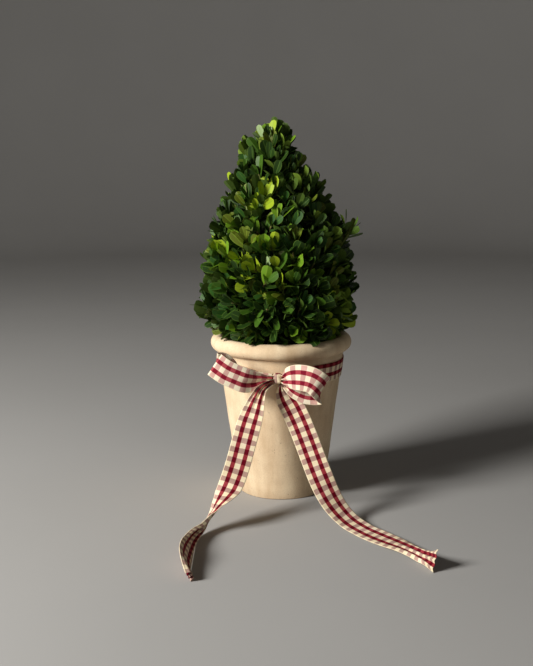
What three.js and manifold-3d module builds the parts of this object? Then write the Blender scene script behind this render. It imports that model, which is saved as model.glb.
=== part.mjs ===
// Boxwood cone topiary in a rolled-rim clay pot, with a gingham ribbon tied round the pot in a bow.
// Millimetres, +Z up. The origin is the middle of the pot's flat underside, and -Y is the bow's side.
import * as THREE from 'three';
import { mergeVertices } from 'three/addons/utils/BufferGeometryUtils.js';
import Module from 'manifold-3d';

const wasm = await Module();
wasm.setup();

// ---- driving dimensions -------------------------------------------------------------------

const GAP = 0.3;                      // clear space between neighbouring pieces

const POT_BASE_RADIUS = 46.3;
const POT_NECK_RADIUS = 66.7;         // under the rolled rim
const POT_NECK_HEIGHT = 153.8;
const POT_FOOT_ROUND = 1.5;
const ROLL_RADIUS = 9.5;              // the rim's round roll
const ROLL_CENTRE_RADIUS = 65.5;
const ROLL_CENTRE_HEIGHT = 161.2;
const POT_MOUTH_RADIUS = 57.0;
const POT_MOUTH_HEIGHT = 149.8;       // where the rim's inside meets the sloping inner wall
const POT_FLOOR = 10.0;
const POT_FLOOR_RADIUS = 38.5;
const POT_SIDES = 36;
const POT_CURVE_STEPS = 5;            // straight pieces in each curve of the pot's profile

const SOIL_TOP = 146.0;
const SOIL_CROWNING = 2.0;            // the soil stands a little higher towards its middle
const SOIL_GAP = 0.4;                 // between the soil and the pot's inner wall
const SOIL_MOUND = 3.0;               // the raised middle goes this far past the trunk's foot

const TRUNK_FLARE_RADIUS = 9.5;
const TRUNK_FOOT_RADIUS = 6.0;
const TRUNK_TIP_RADIUS = 3.0;
const TRUNK_TOP = 330.0;
const TRUNK_SIDES = 12;
const TRUNK_FLARE_RISE = 5.0;         // the flare dies away over this height
const TRUNK_RINGS = [0, 2.5, 6, 12, 45, 90, 140];    // above the trunk's foot

const LEAN = -0.038;                  // sideways drift of trunk and crown for each mm of height

const CROWN_OUTLINE = [               // height and radius of the leafy cone
  [158, 58], [170, 70], [185, 80], [205, 82], [235, 84], [262, 80], [290, 71],
  [305, 61], [325, 54], [347, 44], [362, 35], [376, 27], [388, 16], [397, 7],
];
const LUMPS = [                       // where the cone bulges: bearing and height, spreads, reach
  { bearing: -8, height: 346, turn: 24, rise: 9, reach: 6 },
  { bearing: 188, height: 374, turn: 34, rise: 10, reach: 6 },
  { bearing: -14, height: 291, turn: 9, rise: 15, reach: 28 },
  { bearing: 196, height: 203, turn: 8, rise: 12, reach: 17 },
  { bearing: 78, height: 300, turn: 26, rise: 14, reach: 5 },
  { bearing: 128, height: 240, turn: 22, rise: 16, reach: 4 },
];

const SHOOTS = [                      // tips of the shoots that stand out of the cone
  { bearing: -14, height: 281, radius: 80 },
  { bearing: 196, height: 198, radius: 83 },
  { bearing: -8, height: 333, radius: 42 },
  { bearing: 188, height: 360, radius: 27 },
];

const CORE_INSET = 22;                // the dense twiggy heart lies this far inside the outline
const CORE_SIDES = 18;
const CORE_LEAST_RADIUS = 2;
const CORE_CAP = 6;                   // height of the core's blunt point
const HEART_RADIUS = 10.5;            // hollow round the trunk
const TIER_RISE = 0.3;                // the tiers part along cones that climb outwards
const TIERS = [                       // level where each starts on the axis, masses, first bearing
  { name: 'lower', level: 120, masses: 4, bearing: -90 },
  { name: 'middle', level: 211, masses: 4, bearing: -45 },
  { name: 'upper', level: 279, masses: 3, bearing: -150 },
  { name: 'tip', level: 334, masses: 1, bearing: 0 },
];
const CROWN_FAR = 150;                // beyond every leaf

const TWIG_SPACING = 28;
const ROW_SPACING = 22.4;
const LOWEST_ROW = 175;
const ROW_MARGIN = 8;                 // the twigs of a row are counted on a ring this much wider
const TIP_JITTER = { round: 0.3, height: 7 };        // shares of a twig's room in its row, mm
const TWIG_INSET = 17;                // the twigs end this far inside the outline
const TOP_RING = 6;                   // radius of the ring of twigs nearest the tip
const KNEE_BACK = 12;                 // a twig bends this far behind its tip
const TIP_TWIG_HEIGHT = 375;          // top of the leading twig
const TIP_STEM_HEIGHT = 363;          // top of the stem that carries the highest mass
const TIP_FORKS = { from: 350, over: 40, least: 0.2, most: 0.9 };    // where twigs leave that stem
const SIDE_FORKS = { least: 0.35, most: 0.7 };       // where twigs leave a side mass's stem
const STEM_LOWEST = 152;
const STEM_LEVEL = 0.4;               // a stem starts this far up its mass's tier
const STEM_RISE = 12;                 // a mass's stem climbs this much on its way out
const STEM_INSET = 28;                // and ends this far inside the outline
const TWIG_ROOT_RADIUS = 1.5;
const TWIG_TIP_RADIUS = 0.8;
const STEM_RADIUS = 2.4;
const STEM_TIP_RADIUS = 1.68;
const CLIMB = { lowest: 8, gain: 50, jitter: 16 };   // degrees that a twig's end climbs
const BEARING_JITTER = 20;            // degrees
const NODE_STEP = 5.0;                // between the pairs of leaves on a twig
const LEAF_PAIRS = 3;
const LEAF_SET_BACK = 0.5;            // of the first pair behind the twig's tip
const SPREAD = { first: 26, step: 14, jitter: 8 };   // degrees that leaves stand off their twig
const ROLL_JITTER = 0.5;              // radians
const LEAF_LENGTH = 23;
const LEAF_WIDTH = 14.5;
const LEAF_THICKNESS = 1.2;
const LEAF_FOLD = 1.6;                // the midrib lies this much lower than the leaf's edges
const LEAF_WIDEST = 0.12;             // past the middle, as a share of the length
const LEAF_SIZES = { least: 0.9, most: 1.1 };
const ROLL_TRIES = [0, 0.5, -0.5, 1, -1];    // a leaf that doesn't fit is tried again, turned on its twig
const FEWEST_LEAVES = 3;              // a twig that carries fewer is left out
const UPRIGHT = 0.2;                  // a twig with less sideways lean than this counts as upright
const FIRST_SEED = 54;
const LEAF_TOUCH = 0.05;              // mm3 that two leaves may share, as where their roots meet
const EDGE_CLEARANCE = 2;             // of a twig's tip inside its mass's space
const RIM_CLEARANCE = 1.0;            // between leaves and the rolled rim

const RIBBON_WIDTH = 25;
const RIBBON_THICKNESS = 1.0;
const BAND_HEIGHT = 136.5;            // middle of the band round the pot
const BAND_GAP = 0.5;
const KNOT = { x: -3.5, y: -71.2, z: 136, halfWidth: 5, halfDepth: 5, halfHeight: 5.4 };

// ---- materials ----------------------------------------------------------------------------

function material(color, roughness) {
  return new THREE.MeshStandardMaterial({ color, roughness, metalness: 0 });
}

const clay = material(0xd8c59c, 0.85);
const earth = material(0x2b2018, 0.95);
const bark = material(0x6b5a41, 0.9);
const leafGreen = material(0x2f6a1c, 0.45);
const leafLight = material(0x4f7f22, 0.45);
const gingham = material(0xb0575a, 0.75);

// ---- closed solids ------------------------------------------------------------------------

// A three.js geometry as a closed solid with its faces pointing out.
function solid(geometry) {
  const bare = new THREE.BufferGeometry();
  bare.setAttribute('position', geometry.getAttribute('position'));
  bare.setIndex(geometry.getIndex());
  const merged = mergeVertices(bare, 1e-4);
  const points = merged.getAttribute('position').array;
  const corners = Array.from(merged.getIndex().array);
  const triangles = [];
  let volume = 0;
  for (let i = 0; i < corners.length; i += 3) {
    const [a, b, c] = corners.slice(i, i + 3);
    if (a === b || b === c || c === a) continue;
    triangles.push(a, b, c);
    const [p, q, r] = [a, b, c].map((corner) => new THREE.Vector3().fromArray(points, 3 * corner));
    volume += p.dot(q.cross(r));
  }
  if (volume < 0) triangles.reverse();
  return new wasm.Manifold(new wasm.Mesh({
    numProp: 3,
    vertProperties: new Float32Array(points),
    triVerts: new Uint32Array(triangles),
  }));
}

function geometryOf(body) {
  const mesh = body.getMesh();
  const geometry = new THREE.BufferGeometry();
  geometry.setAttribute('position', new THREE.BufferAttribute(new Float32Array(mesh.vertProperties), 3));
  geometry.setIndex(new THREE.BufferAttribute(new Uint32Array(mesh.triVerts), 1));
  return geometry;
}

// Only the largest body of a fused solid: sealed hollows are filled and loose scraps dropped.
function wholeBody(fused) {
  const bodies = fused.decompose();
  bodies.sort((a, b) => b.volume() - a.volume());
  return bodies[0];
}

function namedMesh(name, body, look) {
  const geometry = geometryOf(body);
  geometry.computeVertexNormals();
  const piece = new THREE.Mesh(geometry, look);
  piece.name = name;
  return piece;
}

// A solid of revolution round +Z from radius and height pairs.
function turned(profile, sides) {
  const points = profile.map(([radius, height]) => new THREE.Vector2(radius, height));
  return solid(new THREE.LatheGeometry(points, sides).rotateX(Math.PI / 2));
}

// ---- pot, soil and trunk ------------------------------------------------------------------

function potRadius(height) {
  return POT_BASE_RADIUS + (POT_NECK_RADIUS - POT_BASE_RADIUS) * height / POT_NECK_HEIGHT;
}

function pot() {
  const wall = new THREE.Path();
  wall.moveTo(0, 0);
  wall.lineTo(POT_BASE_RADIUS - POT_FOOT_ROUND, 0);
  wall.quadraticCurveTo(POT_BASE_RADIUS, 0, potRadius(POT_FOOT_ROUND), POT_FOOT_ROUND);
  wall.lineTo(POT_NECK_RADIUS, POT_NECK_HEIGHT);
  const creaseTurn = Math.atan2(POT_NECK_HEIGHT - ROLL_CENTRE_HEIGHT, POT_NECK_RADIUS - ROLL_CENTRE_RADIUS);
  wall.absarc(ROLL_CENTRE_RADIUS, ROLL_CENTRE_HEIGHT, ROLL_RADIUS, creaseTurn, Math.PI, false);
  wall.lineTo(POT_MOUTH_RADIUS, POT_MOUTH_HEIGHT);
  wall.lineTo(POT_FLOOR_RADIUS, POT_FLOOR);
  wall.lineTo(0, POT_FLOOR);
  const profile = wall.getPoints(POT_CURVE_STEPS).map((point) => [Math.max(point.x, 0), point.y]);
  return turned(profile, POT_SIDES);
}

function mouthRadius(height) {
  const share = (height - POT_FLOOR) / (POT_MOUTH_HEIGHT - POT_FLOOR);
  return POT_FLOOR_RADIUS + (POT_MOUTH_RADIUS - POT_FLOOR_RADIUS) * share;
}

function soil() {
  const low = POT_FLOOR + GAP;
  return turned([
    [0, low],
    [mouthRadius(low) - SOIL_GAP, low],
    [mouthRadius(SOIL_TOP) - SOIL_GAP, SOIL_TOP],
    [TRUNK_FLARE_RADIUS + SOIL_MOUND, SOIL_TOP + SOIL_CROWNING],
    [0, SOIL_TOP + SOIL_CROWNING],
  ], POT_SIDES);
}

const TRUNK_FOOT = SOIL_TOP + SOIL_CROWNING + GAP;

function trunkRadius(height) {
  const share = (height - TRUNK_FOOT) / (TRUNK_TOP - TRUNK_FOOT);
  const flare = (TRUNK_FLARE_RADIUS - TRUNK_FOOT_RADIUS) * Math.exp(-(height - TRUNK_FOOT) / TRUNK_FLARE_RISE);
  return TRUNK_FOOT_RADIUS + (TRUNK_TIP_RADIUS - TRUNK_FOOT_RADIUS) * share + flare;
}

// The trunk, or with a clearance the slightly larger space that the foliage is cut clear of.
function trunk(clearance = 0) {
  const rings = TRUNK_RINGS.map((rise) => TRUNK_FOOT + rise);
  const side = [...rings, TRUNK_TOP].map((height) => [trunkRadius(height) + clearance, height]);
  const top = TRUNK_TOP + clearance;
  side.at(-1)[1] = top;
  return turned([[0, TRUNK_FOOT], ...side, [0, top]], TRUNK_SIDES);
}

// ---- crown --------------------------------------------------------------------------------

// A seeded source of numbers between 0 and 1, so that the plant grows the same way every time.
function seeded(seed) {
  let state = seed;
  return () => {
    state = (state + 0x6d2b79f5) | 0;
    let mixed = Math.imul(state ^ (state >>> 15), 1 | state);
    mixed = (mixed + Math.imul(mixed ^ (mixed >>> 7), 61 | mixed)) ^ mixed;
    return ((mixed ^ (mixed >>> 14)) >>> 0) / 4294967296;
  };
}

function outlineRadius(height) {
  const next = CROWN_OUTLINE.findIndex(([at]) => at > height);
  if (next < 0) return 0;
  if (next === 0) return CROWN_OUTLINE[0][1];
  const [lowHeight, lowRadius] = CROWN_OUTLINE[next - 1];
  const [highHeight, highRadius] = CROWN_OUTLINE[next];
  return lowRadius + (highRadius - lowRadius) * (height - lowHeight) / (highHeight - lowHeight);
}

function bearingBetween(a, b) {
  return ((a - b + 540) % 360 + 360) % 360 - 180;
}

// How far the crown reaches at a height in mm and a bearing in degrees.
function reachAt(height, bearing) {
  let reach = outlineRadius(height);
  for (const lump of LUMPS) {
    const across = bearingBetween(bearing, lump.bearing) / lump.turn;
    const along = (height - lump.height) / lump.rise;
    reach += lump.reach * Math.exp(-across * across - along * along);
  }
  return reach;
}

function polar(radius, bearing, height) {
  const angle = THREE.MathUtils.degToRad(bearing);
  return new THREE.Vector3(radius * Math.cos(angle), radius * Math.sin(angle), height);
}

// Whether a point is off the rolled rim and out of the pot's wall below it.
function clearOfRim(radius, height, clearance) {
  const room = RIM_CLEARANCE + clearance;
  const toRoll = Math.hypot(radius - ROLL_CENTRE_RADIUS, height - ROLL_CENTRE_HEIGHT);
  const beside = radius < POT_MOUTH_RADIUS - room || radius > ROLL_CENTRE_RADIUS + ROLL_RADIUS + room;
  return toRoll > ROLL_RADIUS + room && (height > ROLL_CENTRE_HEIGHT || beside);
}

// The space that one mass of foliage keeps to.
class Space {
  constructor(tier, number) {
    this.low = TIERS[tier].level;
    this.high = tier + 1 < TIERS.length ? TIERS[tier + 1].level : CROWN_OUTLINE.at(-1)[0] + CROWN_FAR;
    this.masses = TIERS[tier].masses;
    this.turn = 360 / this.masses;
    this.from = TIERS[tier].bearing + this.turn * number;
    this.middle = this.from + this.turn / 2;
  }

  holds(point, clearance) {
    const radius = Math.hypot(point.x, point.y);
    const level = point.z - TIER_RISE * radius;
    if (level < this.low + clearance || level > this.high - clearance) return false;
    const bearing = THREE.MathUtils.radToDeg(Math.atan2(point.y, point.x));
    if (radius > reachAt(point.z, bearing)) return false;
    if (this.masses > 1 && !this.betweenSides(point, clearance)) return false;
    return clearOfRim(radius, point.z, clearance);
  }

  betweenSides(point, clearance) {
    const first = polar(1, this.from, 0);
    const last = polar(1, this.from + this.turn, 0);
    const pastFirst = first.x * point.y - first.y * point.x;
    const beforeLast = point.x * last.y - point.y * last.x;
    return pastFirst > clearance && beforeLast > clearance;
  }

  // The part of the crown's dense core that lies in this space.
  core(dense) {
    const inner = this.masses > 1 ? HEART_RADIUS : 0;
    const floor = (radius) => this.low + TIER_RISE * radius + GAP;
    const roof = (radius) => this.high + TIER_RISE * radius - GAP;
    const tier = turned([
      [inner, floor(inner)], [CROWN_FAR, floor(CROWN_FAR)],
      [CROWN_FAR, roof(CROWN_FAR)], [inner, roof(inner)],
      ...(inner > 0 ? [[inner, floor(inner)]] : []),
    ], CORE_SIDES);
    const slice = dense.intersect(tier);
    return this.masses > 1 ? slice.intersect(this.wedge()) : slice;
  }

  wedge() {
    const point = polar(GAP / Math.sin(THREE.MathUtils.degToRad(this.turn / 2)), this.middle, 0);
    const corner = (bearing) => polar(2 * CROWN_FAR, bearing, 0).add(point);
    const plan = new THREE.Shape([point, corner(this.from), corner(this.middle), corner(this.from + this.turn)]);
    const height = 2 * CROWN_OUTLINE.at(-1)[0];
    return solid(new THREE.ExtrudeGeometry(plan, { depth: height, bevelEnabled: false }));
  }
}

function crownCore() {
  const side = CROWN_OUTLINE
    .map(([height, radius]) => [radius - CORE_INSET, height])
    .filter(([radius]) => radius > CORE_LEAST_RADIUS);
  const lowest = side[0][1];
  const highest = side.at(-1)[1];
  return turned([[0, lowest], ...side, [0, highest + CORE_CAP]], CORE_SIDES);
}

// A three-sided tapering limb.
function limb(from, to, fromRadius, toRadius) {
  const along = to.clone().sub(from);
  const geometry = new THREE.CylinderGeometry(toRadius, fromRadius, along.length(), 3);
  const upright = new THREE.Vector3(0, 1, 0);
  geometry.applyQuaternion(new THREE.Quaternion().setFromUnitVectors(upright, along.clone().normalize()));
  const middle = from.clone().add(to).multiplyScalar(0.5);
  return solid(geometry.translate(middle.x, middle.y, middle.z));
}

// One leaf of eight faces: widest past its middle, folded a little along its midrib.
function leafGeometry(root, along, facing, size) {
  const geometry = new THREE.OctahedronGeometry(0.5);
  const points = geometry.getAttribute('position');
  for (let i = 0; i < points.count; i += 1) {
    const x = points.getX(i);
    const onSide = Math.round(2 * x) === 0;
    const lengthwise = (x + 0.5 + (onSide ? LEAF_WIDEST : 0)) * LEAF_LENGTH * size;
    const sideways = points.getY(i) * LEAF_WIDTH * size;
    const isMidrib = onSide && Math.round(sideways) === 0;
    const thick = points.getZ(i) * LEAF_THICKNESS - (isMidrib ? LEAF_FOLD : 0);
    points.setXYZ(i, lengthwise, sideways, thick);
  }
  const side = facing.clone().cross(along).normalize();
  const up = along.clone().cross(side);
  const place = new THREE.Matrix4().makeBasis(along, side, up).setPosition(root);
  return geometry.applyMatrix4(place);
}

// The corners of a leaf's faces and the middles of its edges.
function samplesOf(geometry) {
  const points = geometry.getAttribute('position');
  const corner = (i) => new THREE.Vector3().fromBufferAttribute(points, i);
  const samples = [];
  for (let i = 0; i < points.count; i += 1) {
    const next = i % 3 === 2 ? i - 2 : i + 1;
    samples.push(corner(i), corner(i).lerp(corner(next), 0.5));
  }
  return samples;
}

// Pairs of opposite leaves back from the tip of a twig, each pair turned across the last. A leaf
// that would leave the mass's space or pass through another leaf is skipped.
function leavesOnTwig(fork, tip, space, random, others) {
  const along = tip.clone().sub(fork).normalize();
  const sideways = new THREE.Vector3(0, 0, 1).cross(along);
  if (sideways.length() < UPRIGHT) sideways.set(1, 0, 0).cross(along);
  sideways.normalize();
  const turn = random() * Math.PI;
  const leaves = [];
  for (let pair = 0; pair < LEAF_PAIRS; pair += 1) {
    const root = tip.clone().addScaledVector(along, -LEAF_SET_BACK - NODE_STEP * pair);
    const spread = THREE.MathUtils.degToRad(SPREAD.first + SPREAD.step * pair + SPREAD.jitter * (random() - 0.5));
    for (const half of [0, 1]) {
      const roll = turn + Math.PI / 2 * pair + Math.PI * half + ROLL_JITTER * (random() - 0.5);
      const size = THREE.MathUtils.lerp(LEAF_SIZES.least, LEAF_SIZES.most, random());
      for (const shift of ROLL_TRIES) {
        const outward = sideways.clone().applyAxisAngle(along, roll + shift);
        const leafAlong = along.clone().multiplyScalar(Math.cos(spread)).addScaledVector(outward, Math.sin(spread));
        const geometry = leafGeometry(root, leafAlong, along, size);
        if (!samplesOf(geometry).every((sample) => space.holds(sample, GAP))) continue;
        const leaf = solid(geometry);
        if (passesThrough(leaf, others)) continue;
        leaves.push(leaf);
        others.push(leaf);
        break;
      }
    }
  }
  return leaves;
}

function passesThrough(leaf, others) {
  const box = leaf.boundingBox();
  return others.some((other) => {
    const near = other.boundingBox();
    const apart = [0, 1, 2].some((axis) => box.min[axis] > near.max[axis] || near.min[axis] > box.max[axis]);
    return !apart && leaf.intersect(other).volume() > LEAF_TOUCH;
  });
}

// The way a twig's end points: outwards and, more so towards the top of the crown, upwards.
function climbing(tip, random) {
  const share = (tip.z - CROWN_OUTLINE[1][0]) / (TIP_TWIG_HEIGHT - CROWN_OUTLINE[1][0]);
  const climb = THREE.MathUtils.degToRad(CLIMB.lowest + CLIMB.gain * share + CLIMB.jitter * (random() - 0.5));
  const bearing = THREE.MathUtils.radToDeg(Math.atan2(tip.y, tip.x)) + BEARING_JITTER * (random() - 0.5);
  return Math.hypot(tip.x, tip.y) < 1 ? new THREE.Vector3(0, 0, 1) : polar(Math.cos(climb), bearing, Math.sin(climb));
}

// A mass's lone shoots, then twig tips spread evenly over it, in rows up the outline with a seeded shift.
function twigTips(space, random) {
  const tips = SHOOTS
    .map(({ bearing, height, radius }) => polar(radius, bearing, height))
    .filter((tip) => space.holds(tip, EDGE_CLEARANCE));
  for (let height = LOWEST_ROW; height < TIP_TWIG_HEIGHT; height += ROW_SPACING) {
    const ring = Math.max(outlineRadius(height) - TWIG_INSET, TOP_RING);
    const around = space.turn / 360 * 2 * Math.PI * (ring + ROW_MARGIN);
    const count = Math.max(1, Math.round(around / TWIG_SPACING));
    for (let i = 0; i < count; i += 1) {
      const bearing = space.from + space.turn * (i + 0.5 + TIP_JITTER.round * (random() - 0.5)) / count;
      const rise = height + TIP_JITTER.height * (random() - 0.5);
      const tip = polar(Math.max(reachAt(rise, bearing) - TWIG_INSET, TOP_RING), bearing, rise);
      if (space.holds(tip, EDGE_CLEARANCE)) tips.push(tip);
    }
  }
  return tips;
}

// One mass of foliage: a stem from the trunk into the core, twigs that fork off it, and their leaves.
function foliageMass(tier, number, dense) {
  const space = new Space(tier, number);
  const random = seeded(FIRST_SEED + 1000 * tier + 100 * number);
  const isTip = space.masses === 1;
  const sideLevel = THREE.MathUtils.lerp(Math.max(space.low, STEM_LOWEST), space.high, STEM_LEVEL);
  const stemRoot = new THREE.Vector3(0, 0, isTip ? TRUNK_TOP : sideLevel);
  const stemEnd = isTip
    ? new THREE.Vector3(0, 0, TIP_STEM_HEIGHT)
    : polar(outlineRadius(sideLevel + STEM_RISE) - STEM_INSET, space.middle, sideLevel + STEM_RISE);
  const stem = limb(stemRoot, stemEnd, STEM_RADIUS, STEM_TIP_RADIUS);
  let body = space.core(dense).add(stem).subtract(trunk(GAP));
  const tips = isTip ? [new THREE.Vector3(0, 0, TIP_TWIG_HEIGHT)] : [];
  tips.push(...twigTips(space, random));
  const leavesSoFar = [];
  for (const tip of tips) {
    const share = isTip
      ? THREE.MathUtils.clamp((tip.z - TIP_FORKS.from) / TIP_FORKS.over, TIP_FORKS.least, TIP_FORKS.most)
      : THREE.MathUtils.lerp(SIDE_FORKS.least, SIDE_FORKS.most, random());
    const fork = stemRoot.clone().lerp(stemEnd, share);
    const knee = tip.clone().addScaledVector(climbing(tip, random), -KNEE_BACK);
    const leaves = leavesOnTwig(knee, tip, space, random, leavesSoFar);
    if (leaves.length < FEWEST_LEAVES) continue;
    body = body.add(limb(fork, knee, TWIG_ROOT_RADIUS, TWIG_ROOT_RADIUS));
    body = body.add(limb(knee, tip, TWIG_ROOT_RADIUS, TWIG_TIP_RADIUS));
    for (const leaf of leaves) body = body.add(leaf);
  }
  return wholeBody(body);
}

// Trunk and crown drift sideways together as they rise.
function leaning(geometry) {
  const drift = new THREE.Matrix4().set(
    1, 0, LEAN, -LEAN * TRUNK_FOOT,
    0, 1, 0, 0,
    0, 0, 1, 0,
    0, 0, 0, 1,
  );
  return geometry.applyMatrix4(drift);
}

// ---- ribbon -------------------------------------------------------------------------------

function band() {
  const low = BAND_HEIGHT - RIBBON_WIDTH / 2;
  const high = BAND_HEIGHT + RIBBON_WIDTH / 2;
  const inner = (height) => potRadius(height) + BAND_GAP;
  return turned([
    [inner(low), low],
    [inner(low) + RIBBON_THICKNESS, low],
    [inner(high) + RIBBON_THICKNESS, high],
    [inner(high), high],
    [inner(low), low],
  ], POT_SIDES);
}

function knot() {
  const ball = new THREE.SphereGeometry(1, 12, 8).rotateX(Math.PI / 2);
  return solid(ball.scale(KNOT.halfWidth, KNOT.halfDepth, KNOT.halfHeight).translate(KNOT.x, KNOT.y, KNOT.z));
}

// The four edges of a strip, as shares of its width and thickness, in order round it.
const STRIP_EDGES = [[-0.5, 0.5], [0.5, 0.5], [0.5, -0.5], [-0.5, -0.5]];

// A flat strip laid along stations: [x, y, z], the direction across it, and its width there. The two
// faces are split into triangles along the same diagonals, so that it stays as thick where it twists.
function strip(stations, steps) {
  const middle = new THREE.CatmullRomCurve3(stations.map(([at]) => new THREE.Vector3(...at)), false, 'centripetal');
  const across = new THREE.CatmullRomCurve3(stations.map(([, way, width]) =>
    new THREE.Vector3(...way).normalize().multiplyScalar(width)), false, 'catmullrom', 0.5);
  const points = [];
  const triangles = [0, 1, 2, 0, 2, 3];
  for (let step = 0; step <= steps; step += 1) {
    const side = across.getPoint(step / steps);
    const normal = middle.getTangent(step / steps).cross(side).normalize();
    for (const [sideways, outwards] of STRIP_EDGES) {
      points.push(middle.getPoint(step / steps)
        .addScaledVector(side, sideways).addScaledVector(normal, outwards * RIBBON_THICKNESS));
    }
  }
  for (let first = 0; first < 4 * steps; first += 4) {
    const [a, b, c, d, e, f, g, h] = [0, 1, 2, 3, 4, 5, 6, 7].map((corner) => first + corner);
    triangles.push(a, f, b, a, e, f, d, c, g, d, g, h, b, f, g, b, g, c, a, d, h, a, h, e);
  }
  const end = 4 * steps;
  triangles.push(end, end + 2, end + 1, end, end + 3, end + 2);
  const geometry = new THREE.BufferGeometry().setFromPoints(points);
  geometry.setIndex(triangles);
  return solid(geometry);
}

const FULL = RIBBON_WIDTH;
const LOOP_LEFT = [
  [[-8.8, -73, 136.5], [0, 0, 1], 8],
  [[-15.1, -75.5, 136.8], [0.25, 0.1, 0.95], 10],
  [[-20.4, -78.2, 136.6], [0.2, 0.1, 0.97], 15.5],
  [[-27.6, -81.2, 136.2], [0.24, 0.1, 0.96], 22],
  [[-36.2, -83.5, 138.1], [0.29, 0.1, 0.95], FULL],
  [[-45, -84.8, 141.8], [0.32, 0.08, 0.94], FULL],
  [[-53.6, -85, 145.8], [0.38, 0.06, 0.92], FULL],
  [[-60.3, -84.2, 150], [0.45, 0.04, 0.89], FULL],
  [[-65.3, -82, 154], [0.54, 0, 0.84], FULL],
  [[-66.8, -78.6, 155.6], [0.56, 0, 0.83], FULL],
  [[-62.5, -75.6, 152.6], [0.55, 0, 0.83], 24],
  [[-56, -73.6, 147.8], [0.5, 0, 0.87], 21.5],
  [[-49.5, -72.4, 143.8], [0.45, 0, 0.89], 19],
  [[-42, -71.6, 141], [0.35, 0, 0.94], 17],
  [[-30, -70.8, 139], [0.2, 0, 0.98], 13],
  [[-18, -70, 137.8], [0.1, 0, 1], 10],
  [[-8.8, -69.4, 137], [0, 0, 1], 8],
];
const LOOP_RIGHT = [
  [[1.8, -73, 136.5], [0, 0, 1], 8],
  [[3.4, -77.6, 137.8], [0.03, 0.05, 1], 15],
  [[7.5, -82.6, 140], [0.12, 0.05, 0.99], 21.5],
  [[13.8, -86.3, 141.3], [0.2, 0.04, 0.98], FULL],
  [[21.8, -88.5, 141.5], [0.26, 0.04, 0.97], 26],
  [[29.8, -88.3, 139.9], [0.29, 0.04, 0.96], 26],
  [[36.5, -86, 135.8], [0.33, 0, 0.94], 26],
  [[41.3, -82.6, 130.4], [0.36, 0, 0.93], 25.5],
  [[42.5, -79.8, 127], [0.36, 0, 0.93], FULL],
  [[40, -77.8, 124.4], [0.33, 0.02, 0.94], 24.3],
  [[33.5, -76.4, 122.6], [0.23, 0.03, 0.97], 23.5],
  [[24.5, -75, 123.2], [0.15, 0.05, 0.99], 22],
  [[14.6, -73.2, 127.2], [0.12, 0.1, 0.99], 18],
  [[6.8, -71.2, 132.6], [0.05, 0.1, 1], 12.5],
  [[1.8, -69.4, 136], [0, 0, 1], 8],
];
const TAIL_LEFT = [
  [[-6.9, -72.8, 131.2], [-1, 0, 0.25], 5],
  [[-13.5, -76, 129], [-0.85, 0.1, 0.5], 7],
  [[-19.6, -79.6, 125], [-0.95, 0.15, 0.25], 11],
  [[-24, -84.5, 117.5], [-0.96, 0.25, 0.1], 17],
  [[-27.8, -89.5, 108], [-0.96, 0.25, 0.08], 22.5],
  [[-31.8, -93.6, 96.5], [-0.97, 0.2, 0.12], FULL],
  [[-36.7, -98.4, 79.8], [-0.98, 0.1, 0.19], FULL],
  [[-41.7, -103.6, 61.8], [-0.98, 0.06, 0.22], FULL],
  [[-46.8, -109.5, 46.5], [-0.97, 0.1, 0.22], FULL],
  [[-51.5, -116.5, 36.5], [-0.92, 0.35, 0.13], FULL],
  [[-56.5, -124.5, 30.5], [-0.75, 0.66, -0.06], FULL],
  [[-62, -132.5, 24], [-0.5, 0.83, -0.22], FULL],
  [[-68, -141, 16.5], [-0.2, 0.92, -0.33], FULL],
  [[-75, -152, 11.4], [0.1, 0.88, -0.46], FULL],
  [[-80.8, -165, 9.4], [0.25, 0.8, -0.54], FULL],
  [[-84, -181, 9], [0.32, 0.72, -0.62], FULL],
  [[-85.2, -197, 9.3], [0.34, 0.66, -0.67], FULL],
  [[-85.5, -212.6, 9.9], [0.35, 0.6, -0.72], FULL],
  [[-85.4, -228, 10.6], [0.36, 0.5, -0.78], FULL],
  [[-84, -243.9, 11.4], [0.38, 0.35, -0.85], FULL],
  [[-81.2, -258, 12], [0.42, 0.15, -0.9], FULL],
];
const TAIL_RIGHT = [
  [[-0.1, -72.8, 131.2], [1, 0, 0.25], 5],
  [[2.2, -76.6, 125.6], [1, 0, 0.15], 13],
  [[6.4, -81.6, 118.2], [0.98, 0, 0.17], 20],
  [[12, -86, 108.8], [0.97, 0, 0.2], FULL],
  [[18.4, -90, 95.5], [0.96, 0.02, 0.26], FULL],
  [[25.2, -93.5, 79], [0.94, 0.06, 0.33], FULL],
  [[31.7, -97.5, 61.7], [0.93, 0.08, 0.37], FULL],
  [[38.7, -102.8, 44.4], [0.91, 0.14, 0.39], FULL],
  [[46, -107.8, 28.9], [0.84, 0.38, 0.34], FULL],
  [[54.8, -113.5, 15.5], [0.74, 0.6, 0.29], FULL],
  [[66.3, -123, 5.6], [0.65, 0.73, 0.2], FULL],
  [[78.7, -139, 2.6], [0.6, 0.79, 0.12], FULL],
  [[91.1, -155.7, 2.4], [0.58, 0.8, 0.11], FULL],
  [[103, -171.5, 3], [0.58, 0.8, 0.08], 24],
  [[112, -182.5, 3.9], [0.57, 0.82, 0], 21.5],
  [[120, -192.5, 4.6], [0.53, 0.84, -0.08], 18],
  [[127, -203, 4.6], [0.46, 0.88, -0.05], 16],
  [[132, -213, 5], [0.38, 0.9, 0.12], 18.5],
  [[136.2, -223.5, 6.6], [0.28, 0.87, 0.4], 24],
];

// ---- the whole part -----------------------------------------------------------------------

const topiary = new THREE.Group();
topiary.name = 'boxwood_cone_topiary';

topiary.add(namedMesh('pot', pot(), clay));
topiary.add(namedMesh('soil', soil(), earth));

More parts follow.
